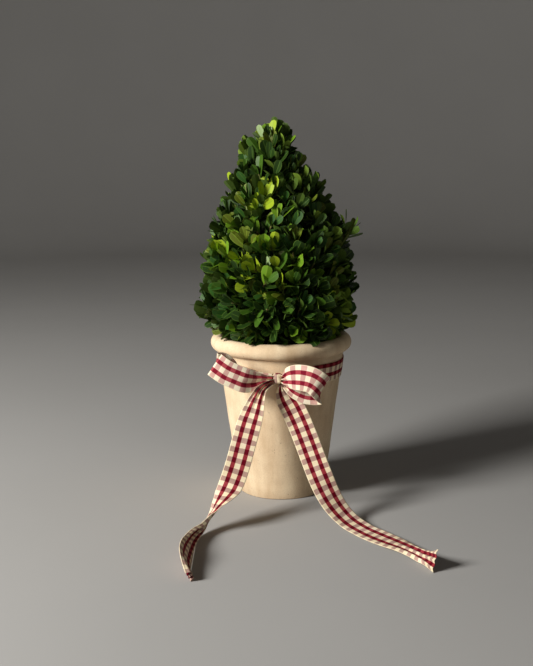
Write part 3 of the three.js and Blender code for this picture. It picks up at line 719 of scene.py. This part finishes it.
def leaf_side(maker, size, above, fold, curl):
    """One side of a spoon-shaped blade; its face has a pale midrib, and a pale rim that is a painted edge
    highlight.
    """
    grid = maker.node("GeometryNodeMeshGrid", None,
                      {"Size X": 1.0, "Size Y": 2.0, "Vertices X": 7, "Vertices Y": 6 if above else 3})
    place = maker.node("GeometryNodeInputPosition")
    start = maker.axis(place, 0) + 0.5
    side = maker.axis(place, 1)
    even = side.size()
    # edge part: the midrib, and the rim that takes a painted highlight
    part = (even < 0.2) + (even > 0.7) if above else BACK
    marked = maker.node("GeometryNodeStoreNamedAttribute", {"data_type": "INT", "domain": "FACE"},
                        {"Geometry": grid, "Name": "part", "Value": part})
    rib = (even < 0.4) * even * 0.25 + (even > 0.4) * (even * 0.2 + 0.8) if above else even
    share = 1.0 - (1.0 - start) ** 1.5
    breadth = share * ((1.0 - share) ** 0.42) * 2.36
    swell = (1.0 - rib ** 2.0) * (breadth ** 0.5) * size["Thickness"]
    lift = (rib ** 1.4) * breadth * (fold * MM) - (share ** 2.0) * (curl * MM)
    lift = lift + (swell if above else -swell)
    point = maker.node("ShaderNodeCombineXYZ", None,
                       (share * size["Length"], side.sign() * rib * breadth * size["Width"] * 0.5, lift))
    blade = maker.node("GeometryNodeSetPosition", None, {"Geometry": marked, "Position": point})
    return blade if above else maker.node("GeometryNodeFlipFaces", None, {"Mesh": blade})


def one_leaf(maker, size, fold, curl):
    sides = [leaf_side(maker, size, above, fold, curl) for above in (True, False)]
    joined = maker.joined("GeometryNodeJoinGeometry", sides)
    leaf = maker.node("GeometryNodeMergeByDistance", None, {"Geometry": joined, "Distance": 0.00003})
    angle = maker.node("GeometryNodeInputMeshEdgeAngle")
    return maker.node("GeometryNodeSetShadeSmooth", {"domain": "EDGE"},
                      {"Geometry": leaf, "Selection": angle > 1.2, "Shade Smooth": False})


def leaf_tree():
    """Leaves on points: each point's aim, size, shape and colours come from its attributes."""
    tree, maker, size = new_tree("boxwood leaves", [
        ("Length", "NodeSocketFloat", LEAF_LENGTH * MM),
        ("Width", "NodeSocketFloat", LEAF_WIDTH * MM),
        ("Thickness", "NodeSocketFloat", 0.2 * MM),
    ])
    shapes = [one_leaf(maker, size, fold, curl) for fold, curl in LEAF_SHAPES]
    shapes = maker.joined("GeometryNodeGeometryToInstance", shapes)
    aim = maker.node("FunctionNodeEulerToRotation", None, (maker.attribute("aim", "FLOAT_VECTOR"),))
    leaves = maker.node("GeometryNodeInstanceOnPoints", None, {
        "Points": size["Geometry"], "Instance": shapes, "Pick Instance": True,
        "Instance Index": maker.attribute("shape", "INT"), "Rotation": aim,
        "Scale": maker.attribute("scale", "FLOAT_VECTOR")})
    leaves = maker.node("GeometryNodeRealizeInstances", None, {"Geometry": leaves})
    part = maker.attribute("part", "INT")
    look = (maker.attribute("face", "INT") * (part < 0.5)
            + maker.attribute("edge", "INT") * (part > 0.5) * (part < 1.5)
            + maker.attribute("back", "INT") * (part > 1.5))
    for index, leaf_material in enumerate(LEAF_MATERIALS):
        chosen = maker.node("ShaderNodeMath", {"operation": "COMPARE"}, (look, float(index), 0.5))
        leaves = maker.node("GeometryNodeSetMaterial", None,
                            {"Geometry": leaves, "Selection": chosen, "Material": leaf_material})
    return finish_tree(tree, leaves)


def finish_tree(tree, geometry):
    exit_node = tree.nodes.new("NodeGroupOutput")
    tree.links.new(geometry.socket, exit_node.inputs[0])
    return tree


def twig_tree():
    """Tapering round twigs along the edges of a mesh of paths."""
    tree, maker, size = new_tree("boxwood twigs", [
        ("Sides", "NodeSocketInt", 5),
        ("Thickness", "NodeSocketFloat", MM),
    ])
    curve = maker.node("GeometryNodeMeshToCurve", None, {"Mesh": size["Geometry"]})
    radius = maker.attribute("girth", "FLOAT")
    curve = maker.node("GeometryNodeSetCurveRadius", None, {"Curve": curve, "Radius": radius})
    ring = maker.node("GeometryNodeCurvePrimitiveCircle", None,
                      {"Resolution": size["Sides"], "Radius": size["Thickness"]})
    twigs = maker.node("GeometryNodeCurveToMesh", None,
                       {"Curve": curve, "Profile Curve": ring, "Fill Caps": True})
    twigs = maker.node("GeometryNodeSetMaterial", None, {"Geometry": twigs, "Material": TWIG})
    return finish_tree(tree, twigs)


def made_by(tree, name, mesh):
    """The mesh that a tree makes of a base mesh, as a plain mesh."""
    base = in_scene(name + "_base", mesh)
    modifier = base.modifiers.new("grow", "NODES")
    modifier.node_group = tree
    evaluated = base.evaluated_get(bpy.context.evaluated_depsgraph_get())
    result = bpy.data.meshes.new_from_object(evaluated)
    result.name = name
    bpy.data.objects.remove(base)
    return result


def give(mesh, name, kind, values):
    key = "vector" if kind == "FLOAT_VECTOR" else "value"
    mesh.attributes.new(name, kind, "POINT").data.foreach_set(key, values)


def leaf_points(mass):
    mesh = bpy.data.meshes.new("leaf points")
    roots, aims, scales, tones, shapes = zip(*mass.leaves)
    mesh.from_pydata([tuple(leaned(root) * MM) for root in roots], [], [])
    for name, rows in (("aim", aims), ("scale", scales)):
        give(mesh, name, "FLOAT_VECTOR", [part for row in rows for part in row])
    edges = [LEAF_LOOKS.index(LEAF_TONES[tone].edge) for tone in tones]
    backs = [LEAF_LOOKS.index(LEAF_TONES[tone].back) for tone in tones]
    for name, values in (("shape", shapes), ("face", tones), ("edge", edges), ("back", backs)):
        give(mesh, name, "INT", list(values))
    return mesh


def twig_paths(mass):
    points, edges, girths = [], [], []
    for path, girth in mass.twigs:
        first = len(points)
        points += [tuple(leaned(point) * MM) for point in path]
        edges += [(first + i, first + i + 1) for i in range(len(path) - 1)]
        girths += girth
    mesh = bpy.data.meshes.new("twig paths")
    mesh.from_pydata(points, edges, [])
    give(mesh, "girth", "FLOAT", girths)
    return mesh


HEART_SIDES = 40
HEART_SEED = 77


def heart_mesh():
    """The shaded middle of the cone, where leaves no longer grow: a near-black mesh that paints its shade.
    """
    heights = np.linspace(160, 368, 34)
    side = [(max(outline_radius(height) - HEART_INSET, 3.0), height) for height in heights]
    draws = random.Random(HEART_SEED)
    offsets = [draws.uniform(-2.5, 2.5) for _ in range(4000)]

    def rough(point, radius, angle, height):
        index = int(angle / (math.tau) * HEART_SIDES + 0.5) * 97 + int(height)
        share = 1 + offsets[index % len(offsets)] / max(radius, 8)
        return leaned(Vector((point.x * share, point.y * share, point.z)))

    profile = [(0, 158), (side[0][0] * 0.6, 158.5), *side, (0, 372)]
    return turned_mesh("crown_heart", profile, HEART_SIDES, rough)


LEAVES_TREE = leaf_tree()
TWIGS_TREE = twig_tree()
masses = [Mass(tier, number) for tier in range(len(TIERS)) for number in range(TIERS[tier][2])]
for mass in masses:
    mass.grow()
    title = mass.title()
    node = f"foliage_{title}"
    leaves = made_by(LEAVES_TREE, f"leaves_{title}", leaf_points(mass))
    piece(f"leaves_{title}", leaves, [node], "leaves")
    twigs = made_by(TWIGS_TREE, f"twigs_{title}", twig_paths(mass))
    piece(f"twigs_{title}", twigs, [node], "bark")
piece("crown_heart", heart_mesh(), [], "leaves", HEART)


# ---- ribbon ----

KNOT_AT = Vector((-3.4, -71.4, 137.4))
# Along each ribbon: a place, the direction across the cloth there, and how wide it is drawn.
LOOP_LEFT = [
    (-8.8, -73, 136.5, 0, 0, 1, 8), (-15.1, -74.4, 136.8, 0.25, 0.1, 0.95, 10),
    (-20.4, -76.2, 136.6, 0.2, 0.1, 0.97, 15.5), (-27.6, -79.4, 136.2, 0.24, 0.1, 0.96, 22),
    (-36.2, -83.9, 138.1, 0.29, 0.1, 0.95, 25), (-45, -84.8, 141.8, 0.32, 0.08, 0.94, 25),
    (-53.6, -85, 145.8, 0.38, 0.06, 0.92, 25), (-60.3, -84.2, 150, 0.45, 0.04, 0.89, 25),
    (-65.5, -82, 153.4, 0.54, 0, 0.84, 25), (-65.9, -79, 153.6, 0.56, 0, 0.83, 25),
    (-61, -76.6, 153.4, 0.55, 0, 0.83, 25), (-55.3, -75, 149.1, 0.52, 0, 0.86, 24),
    (-50.9, -73.8, 144.9, 0.5, 0, 0.87, 21), (-47, -72.4, 142.2, 0.45, 0, 0.89, 18),
    (-42, -71.6, 141, 0.35, 0, 0.94, 17), (-30, -70.8, 139, 0.2, 0, 0.98, 13),
    (-18, -70, 137.8, 0.1, 0, 1, 10), (-8.8, -69.4, 137, 0, 0, 1, 8),
]
LOOP_RIGHT = [
    (1.8, -73, 136.5, 0, 0, 1, 8), (3.4, -77.6, 137.8, 0.03, 0.05, 1, 15),
    (7.5, -81.6, 140, 0.12, 0.05, 0.99, 21.5), (13.8, -85, 141.3, 0.2, 0.04, 0.98, 25),
    (21.8, -88.6, 141.5, 0.26, 0.04, 0.97, 26), (29.8, -91.2, 139.9, 0.29, 0.04, 0.96, 26),
    (36.3, -91.2, 135.8, 0.35, 0, 0.93, 26), (40.2, -87.4, 130.6, 0.42, 0, 0.90, 25.5),
    (40.6, -82.6, 127, 0.45, 0, 0.88, 25), (38.2, -79, 124.4, 0.42, 0.02, 0.9, 24.3),
    (33.5, -78, 123, 0.23, 0.03, 0.97, 23.5), (24.5, -77.6, 123.8, 0.15, 0.05, 0.99, 22.5),
    (14.6, -76, 127.6, 0.12, 0.1, 0.99, 19.5), (6.8, -73.2, 132.6, 0.05, 0.1, 1, 14),
    (1.8, -69.4, 136, 0, 0, 1, 8),
]
TAIL_LEFT = [
    (-7.9, -73.4, 134.6, -0.3, 0, 1, 5), (-14.3, -77.6, 132.2, -0.45, 0.1, 0.9, 7),
    (-20.2, -81.4, 127.0, -0.9, 0.15, 0.35, 11), (-24.2, -85.2, 118.2, -0.96, 0.25, 0.1, 17),
    (-27.8, -89.5, 108, -0.96, 0.25, 0.08, 22.5), (-31.8, -93.6, 96.5, -0.97, 0.2, 0.12, 25),
    (-36.7, -98.4, 79.8, -0.98, 0.1, 0.19, 25), (-41.7, -103.6, 61.8, -0.98, 0.06, 0.22, 25),
    (-46.8, -109.5, 46.5, -0.97, 0.1, 0.22, 25), (-51.5, -116.5, 36.5, -0.92, 0.35, 0.13, 25),
    (-56.5, -124.5, 30.5, -0.75, 0.66, -0.06, 25), (-62.8, -131.2, 23.7, -0.5, 0.83, -0.22, 22),
    (-68.9, -136.9, 15.0, -0.2, 0.92, -0.33, 16), (-74.4, -146.7, 8.6, 0.1, 0.88, -0.46, 13),
    (-79.4, -160.4, 6.3, 0.25, 0.8, -0.54, 13.5), (-82.6, -177.8, 6.2, 0.32, 0.72, -0.62, 16),
    (-84.2, -195, 7.3, 0.34, 0.66, -0.67, 19), (-85, -211.7, 8.8, 0.35, 0.6, -0.72, 22),
    (-84.9, -227.2, 9.4, 0.36, 0.5, -0.78, 22), (-82.5, -242.5, 8, 0.38, 0.35, -0.85, 17),
    (-78.6, -256.4, 5.2, 0.42, 0.15, -0.9, 10),
]
TAIL_RIGHT = [
    (-0.1, -71.2, 130.8, 1, 0, 0.25, 5), (2, -71, 124.2, 1, 0, 0.15, 16),
    (6.3, -71.4, 115.7, 0.98, 0, 0.17, 23), (12.1, -74, 105.7, 0.97, 0, 0.2, 25),
    (18.6, -80, 92.8, 0.96, 0.02, 0.26, 25), (25.3, -87.5, 77.2, 0.94, 0.06, 0.33, 25),
    (31.8, -95, 60.9, 0.93, 0.08, 0.37, 25), (38.7, -102.8, 44.4, 0.91, 0.14, 0.39, 25),
    (46, -107.8, 28.9, 0.84, 0.38, 0.34, 25), (54.8, -113.5, 15.5, 0.74, 0.6, 0.29, 25),
    (66.3, -123, 5.6, 0.65, 0.73, 0.2, 25), (78.7, -139, 2.6, 0.6, 0.79, 0.12, 25),
    (91.1, -155.7, 2.4, 0.58, 0.8, 0.11, 25), (103, -171.5, 3, 0.58, 0.8, 0.08, 24),
    (112.4, -183.7, 3.6, 0.57, 0.82, 0.05, 21.5), (119.7, -195.0, 4.2, 0.5, 0.82, 0.1, 18.5),
    (126.0, -206.4, 5.0, 0.42, 0.8, 0.22, 16.5), (130.6, -218.5, 6.6, 0.32, 0.65, 0.5, 15.5),
    (134.5, -234.0, 9.8, 0.2, 0.35, 0.9, 20.5),
]


CURVE_STEPS = 600
STRIP_COLUMNS = 24
CRIMP_DEPTH = 3.4
SELVAGE_ROLL = 1.35  # the selvage's thickness, as a share of the cloth's
TUCK_ACROSS, TUCK_BREADTH = -0.14, 0.11  # shares of the ribbon's width, from its middle
TUCK_ALONG, TUCK_LENGTH = 19, 11
FLOOR_GAP = 0.6  # from the floor to the middle of cloth that lies on it


def smooth_through(rows, share):
    """A point on the Catmull-Rom curve through the rows, for a share of its length from 0 to 1."""
    place = share * (len(rows) - 1)
    index = min(int(place), len(rows) - 2)
    t = place - index
    before = rows[index - 1] if index > 0 else 2 * rows[0] - rows[1]
    after = rows[index + 2] if index + 2 < len(rows) else 2 * rows[-1] - rows[-2]
    a, b = rows[index], rows[index + 1]
    return 0.5 * (2 * a + (b - before) * t + (2 * before - 5 * a + 4 * b - after) * t ** 2
                  + (3 * a - before - 3 * b + after) * t ** 3)


def even_samples(stations, steps):
    """Places, across directions and widths at even steps along a strip, and its whole length."""
    rows = np.array(stations, float)
    for row in rows:
        row[3:6] /= np.linalg.norm(row[3:6])
    fine = np.array([smooth_through(rows, i / CURVE_STEPS) for i in range(CURVE_STEPS + 1)])
    run = np.concatenate([[0], np.cumsum(np.linalg.norm(np.diff(fine[:, :3], axis=0), axis=1))])
    even = np.linspace(0, run[-1], steps + 1)
    samples = np.column_stack([np.interp(even, run, fine[:, column]) for column in range(7)])
    return samples, even, run[-1]


def strip(name, stations, steps, node, offset, tuck=0.0, cloth=GINGHAM):
    """A woven ribbon laid along its stations: a thin closed strip with rolled selvages."""
    samples, run, length = even_samples(stations, steps)
    rings = []
    for index, row in enumerate(samples):
        place = Vector(row[:3])
        ahead = Vector(samples[min(index + 1, steps)][:3]) - Vector(samples[max(index - 1, 0)][:3])
        onward = ahead.normalized()
        across = Vector(row[3:6])
        across = (across - onward * across.dot(onward)).normalized()
        normal = ahead.cross(across).normalized()
        width = row[6]
        gather = 1 - width / RIBBON_WIDTH
        droop = abs(across.z) * width / 2 + abs(normal.z * gather) * CRIMP_DEPTH
        place.z = max(place.z, droop + FLOOR_GAP)
        ring = []
        for column in range(STRIP_COLUMNS + 1):
            share = column / STRIP_COLUMNS - 0.5
            crimp = gather * CRIMP_DEPTH * math.cos(share * 6 * math.pi)
            beside_tuck = (share - TUCK_ACROSS) / TUCK_BREADTH
            past_tuck = (run[index] - TUCK_ALONG) / TUCK_LENGTH
            crimp += tuck * math.exp(-beside_tuck ** 2 - past_tuck ** 2)
            half = RIBBON_THICKNESS / 2 * (SELVAGE_ROLL if abs(share) > 0.49 else 1.0)
            middle = place + across * (width * share) + normal * crimp
            on_cloth = share * RIBBON_WIDTH + RIBBON_WIDTH / 2
            ring.append((middle + normal * half, middle - normal * half, on_cloth))
        rings.append(ring)
    strip_piece(name, rings, run, offset, node, cloth=cloth)


def strip_piece(name, rings, run, offset, node, closed=False,
                cloth=GINGHAM):
    """The closed cloth between the upper and lower points of its rings."""
    columns = len(rings[0]) - 1
    points = []
    for ring in rings:
        points += [top for top, _, _ in ring] + [low for _, low, _ in reversed(ring)]
    around = 2 * (columns + 1)
    faces = []
    cut = []
    steps = len(rings) if closed else len(rings) - 1

    def mark(index, column):
        column = column if column <= columns else around - 1 - column
        return (run[index] + offset, rings[0][column][2])

    for index in range(steps):
        later = index + 1
        here = index * around
        there = later % len(rings) * around
        for side in range(around):
            beside = (side + 1) % around
            faces.append((here + side, here + beside, there + beside, there + side))
            cut.append([mark(index, side), mark(index, beside), mark(later, beside), mark(later, side)])
    if not closed:
        for index in (0, len(rings) - 1):
            here = index * around
            for column in range(columns):
                opposite = around - 1 - column
                face = (here + column, here + column + 1, here + opposite - 1, here + opposite)
                near, far = mark(index, column), mark(index, column + 1)
                marks = [near, far, far, near]
                faces.append(face if index else face[::-1])
                cut.append(marks if index else marks[::-1])
    mesh = mesh_from(name, [point * MM for point in points], faces)
    lay_cut(mesh, cut)
    outward(mesh)
    made = piece(name, mesh, [node], "ribbon", cloth)


def lay_cut(mesh, cut):
    """Each face corner's place along and across the flat cloth, from millimetres."""
    layer = mesh.uv_layers.new(name="cut")
    layer.data.foreach_set("uv", [part * MM for face in cut for pair in face for part in pair])


def outward(mesh, merge=0.0):
    """Turns the faces outward, after joining points closer than merge."""
    shape = bmesh.new()
    shape.from_mesh(mesh)
    if merge:
        bmesh.ops.remove_doubles(shape, verts=shape.verts, dist=merge)
    bmesh.ops.recalc_face_normals(shape, faces=shape.faces)
    shape.to_mesh(mesh)
    shape.free()


BAND_LOW = 131.0
BAND_TURNED_AT = 19.4  # the cloth above this is turned under, behind the band's upper edge
BAND_CUT = [0, 0.5, 2.5, 5, 7.5, 10, 12.5, 15, 17, 18.6, 19.3, 19.7, 20.1, 20.6, 22.5, 25.0]
BAND_LIFT = 1.3
BAND_STEPS = 220
BAND_RUN_RADIUS = 67.0
BAND_SLOPE = 1.9
KNOT_BEARING = -92.7
KNOT_RISE = 9.6  # above the band's lower edge
GATHER_RIGHT, GATHER_LEFT = 0.36, 0.62  # radians round the pot from the knot
GATHER_SHARE = 0.72
GATHER_DROP = 1.8


def band_section(cut):
    """Height and distance from the pot of a point of the band, for its place on the cloth."""
    if cut <= BAND_TURNED_AT - 0.4:
        return cut, BAND_LIFT
    if cut >= BAND_TURNED_AT + 0.8:
        return 2 * BAND_TURNED_AT + 0.2 - cut, BAND_LIFT - 0.8
    turn = (cut - BAND_TURNED_AT + 0.4) / 1.2 * math.pi
    return BAND_TURNED_AT - 0.4 + 0.4 * math.sin(turn), BAND_LIFT - 0.4 + 0.4 * math.cos(turn)


def band(wrap):
    """The ribbon round the pot, tucked under its rim and drawn together where it goes into the knot."""
    around = math.tau * BAND_RUN_RADIUS
    run = [around * index / BAND_STEPS for index in range(BAND_STEPS + 1)]
    rings = []
    for index in range(BAND_STEPS):
        angle = math.radians(KNOT_BEARING) + math.tau * index / BAND_STEPS
        away = min(index, BAND_STEPS - index) / BAND_STEPS * math.tau
        reach = GATHER_RIGHT if index < BAND_STEPS / 2 else GATHER_LEFT
        drawn = math.exp(-(away / reach) ** 2)
        section = []
        for cut in BAND_CUT:
            rise, lift = band_section(cut)
            height = BAND_LOW + KNOT_RISE + (rise - KNOT_RISE) * (1 - GATHER_SHARE * drawn)
            height += 0.4 * math.sin(3 * angle) - BAND_SLOPE * (1 + math.cos(angle)) - GATHER_DROP * drawn
            crimp = 0.7 * drawn * (1 + math.cos(cut * 0.75)) + 0.14 * (1 + math.sin(9 * angle + cut / 4))
            section.append(Vector((pot_radius(height) + lift + crimp, height)))
        ring = []
        for column, place in enumerate(section):
            ahead = section[min(column + 1, len(section) - 1)] - section[max(column - 1, 0)]
            normal = Vector((ahead.y, -ahead.x)).normalized() * RIBBON_THICKNESS / 2
            outer, inner = place + normal, place - normal
            top = around_axis(outer.x, angle, outer.y)
            low = around_axis(inner.x, angle, inner.y)
            ring.append((top, low, BAND_CUT[column]))
        rings.append(ring)
    strip_piece("ribbon_round_pot", rings, run, 0, "ribbon_band",
                closed=True)


def knot():
    """The tight wrap in the middle of the bow, with pinched folds."""
    turns, rings = 40, 24
    half_long, half_deep, half_high = 4.4, 4.9, 5.2
    cut_low, cut_rise, cut_step = 9.4, 0.26, 0.8
    points, faces, cut = [], [], []
    for ring in range(rings + 1):
        lift = -1 + 2 * ring / rings
        for side in range(turns):
            angle = math.tau * side / turns
            pinch = 1 + 0.10 * math.cos(3 * math.pi * lift + 0.6)
            square = (abs(math.cos(angle)) ** 3 + abs(math.sin(angle)) ** 3) ** (-1 / 3)
            close = (1 - abs(lift) ** 5) ** 0.35
            fold = 1 + 0.06 * math.cos(5 * angle + 3 * lift)
            sideways = half_long * square * close * pinch * math.cos(angle)
            depth = half_deep * square * close * fold * math.sin(angle) * 0.95
            points.append(KNOT_AT + Vector((sideways, depth, half_high * lift)))
    for ring in range(rings):
        here = ring * turns
        above = here + turns
        low = cut_low + ring * cut_rise
        high = cut_low + (ring + 1) * cut_rise
        for side in range(turns):
            after = (side + 1) % turns
            faces.append((here + side, here + after, above + after, above + side))
            left, right = side * cut_step, (side + 1) * cut_step
            cut.append([(left, low), (right, low), (right, high), (left, high)])
    mesh = mesh_from("ribbon_knot_wrap", [point * MM for point in points], faces)
    lay_cut(mesh, cut)
    outward(mesh, merge=0.00002)
    return piece("ribbon_knot_wrap", mesh, ["ribbon_knot"], "ribbon", GINGHAM)


band(knot())
strip("bow_loop_left_half", LOOP_LEFT, 150, "bow_loop_left", offset=2.0, tuck=3.6,
      cloth=LIT_GINGHAM)
strip("bow_loop_right_half", LOOP_RIGHT, 130, "bow_loop_right", offset=4.0, cloth=LIT_GINGHAM)
strip("ribbon_end_left", TAIL_LEFT, 260, "ribbon_tail_left", offset=3.0)
strip("ribbon_end_right", TAIL_RIGHT, 260, "ribbon_tail_right", offset=1.0)


# ---- floor, light and camera ----

FLOOR_RADIUS = 2.4
SWEEP_RADIUS = 1.0
SWEEP_HEIGHT = 2.6
STAGE_SIDES = 96
WORLD_COLOR = (0.98, 0.86, 0.74, 1)
WORLD_STRENGTH = 0.044


def pale_floor(maker):
    cloud = maker.noise(object_place(maker), 3.0)
    return {"Base Color": maker.mix(cloud, (0.39, 0.384, 0.374), (0.43, 0.424, 0.414)), "Roughness": 0.85}


def stage():
    """A plain pale floor that sweeps up all round into a plain wall."""
    profile = [(share * FLOOR_RADIUS, 0.0) for share in (0, 0.25, 0.5, 0.75)]
    for step in range(13):
        turn = math.pi / 2 * step / 12
        profile.append((FLOOR_RADIUS + SWEEP_RADIUS * math.sin(turn), SWEEP_RADIUS * (1 - math.cos(turn))))
    profile.append((FLOOR_RADIUS + SWEEP_RADIUS, SWEEP_HEIGHT))
    points = [(0, 0, 0)]
    faces = []
    for ring, (radius, height) in enumerate(profile[1:]):
        here = 1 + ring * STAGE_SIDES
        below = here - STAGE_SIDES
        for side in range(STAGE_SIDES):
            points.append(around_axis(radius, math.tau * side / STAGE_SIDES, height))
            beside = (side + 1) % STAGE_SIDES
            if ring == 0:
                faces.append((0, here + side, here + beside))
            else:
                faces.append((below + side, here + side, here + beside, below + beside))
    floor = in_scene("floor", mesh_from("floor", points, faces))
    floor.data.materials.append(material("pale floor", pale_floor))
    world = bpy.data.worlds.new("studio")
    world.use_nodes = True
    background = world.node_tree.nodes["Background"]
    background.inputs[0].default_value = WORLD_COLOR
    background.inputs[1].default_value = WORLD_STRENGTH
    bpy.context.scene.world = world
    bpy.context.scene.view_settings.view_transform = "Standard"


def softbox(name, place, target, size, power, color=(1, 1, 1)):
    lamp = bpy.data.lights.new(name, "AREA")
    lamp.shape = "RECTANGLE"
    lamp.size, lamp.size_y = size
    lamp.energy = power
    lamp.color = color
    made = in_scene(name, lamp)
    made.location = place
    made.rotation_euler = (Vector(target) - Vector(place)).to_track_quat("-Z", "Y").to_euler()


CAMERA_AT = Vector((0.0001, -1.101, 0.373))
CAMERA_PITCH, CAMERA_YAW, CAMERA_ROLL = 10.41, 0.81, -0.29
FOCAL_PIXELS = 1046.0
FRAME_HEIGHT = 666
SENSOR = 36.0


def camera():
    made = in_scene("camera", bpy.data.cameras.new("camera"))
    made.data.sensor_width = SENSOR
    made.data.lens = FOCAL_PIXELS / FRAME_HEIGHT * SENSOR
    turn = (Matrix.Rotation(math.radians(CAMERA_YAW), 4, "Z")
            @ Matrix.Rotation(math.radians(90 - CAMERA_PITCH), 4, "X")
            @ Matrix.Rotation(math.radians(CAMERA_ROLL), 4, "Z"))
    made.matrix_world = Matrix.Translation(CAMERA_AT) @ turn
    bpy.context.scene.camera = made


stage()
softbox("key", (-1.48, -0.96, 1.0), (0, 0, 0.22), (0.6, 0.6), 54, (1.0, 0.98, 0.94))
softbox("fill", (0.5, -1.9, 0.9), (0, 0, 0.2), (1.2, 1.2), 0.5)
softbox("back", (0.6, 1.6, 1.3), (0, 0, 0.3), (1.0, 0.6), 0.8)
camera()
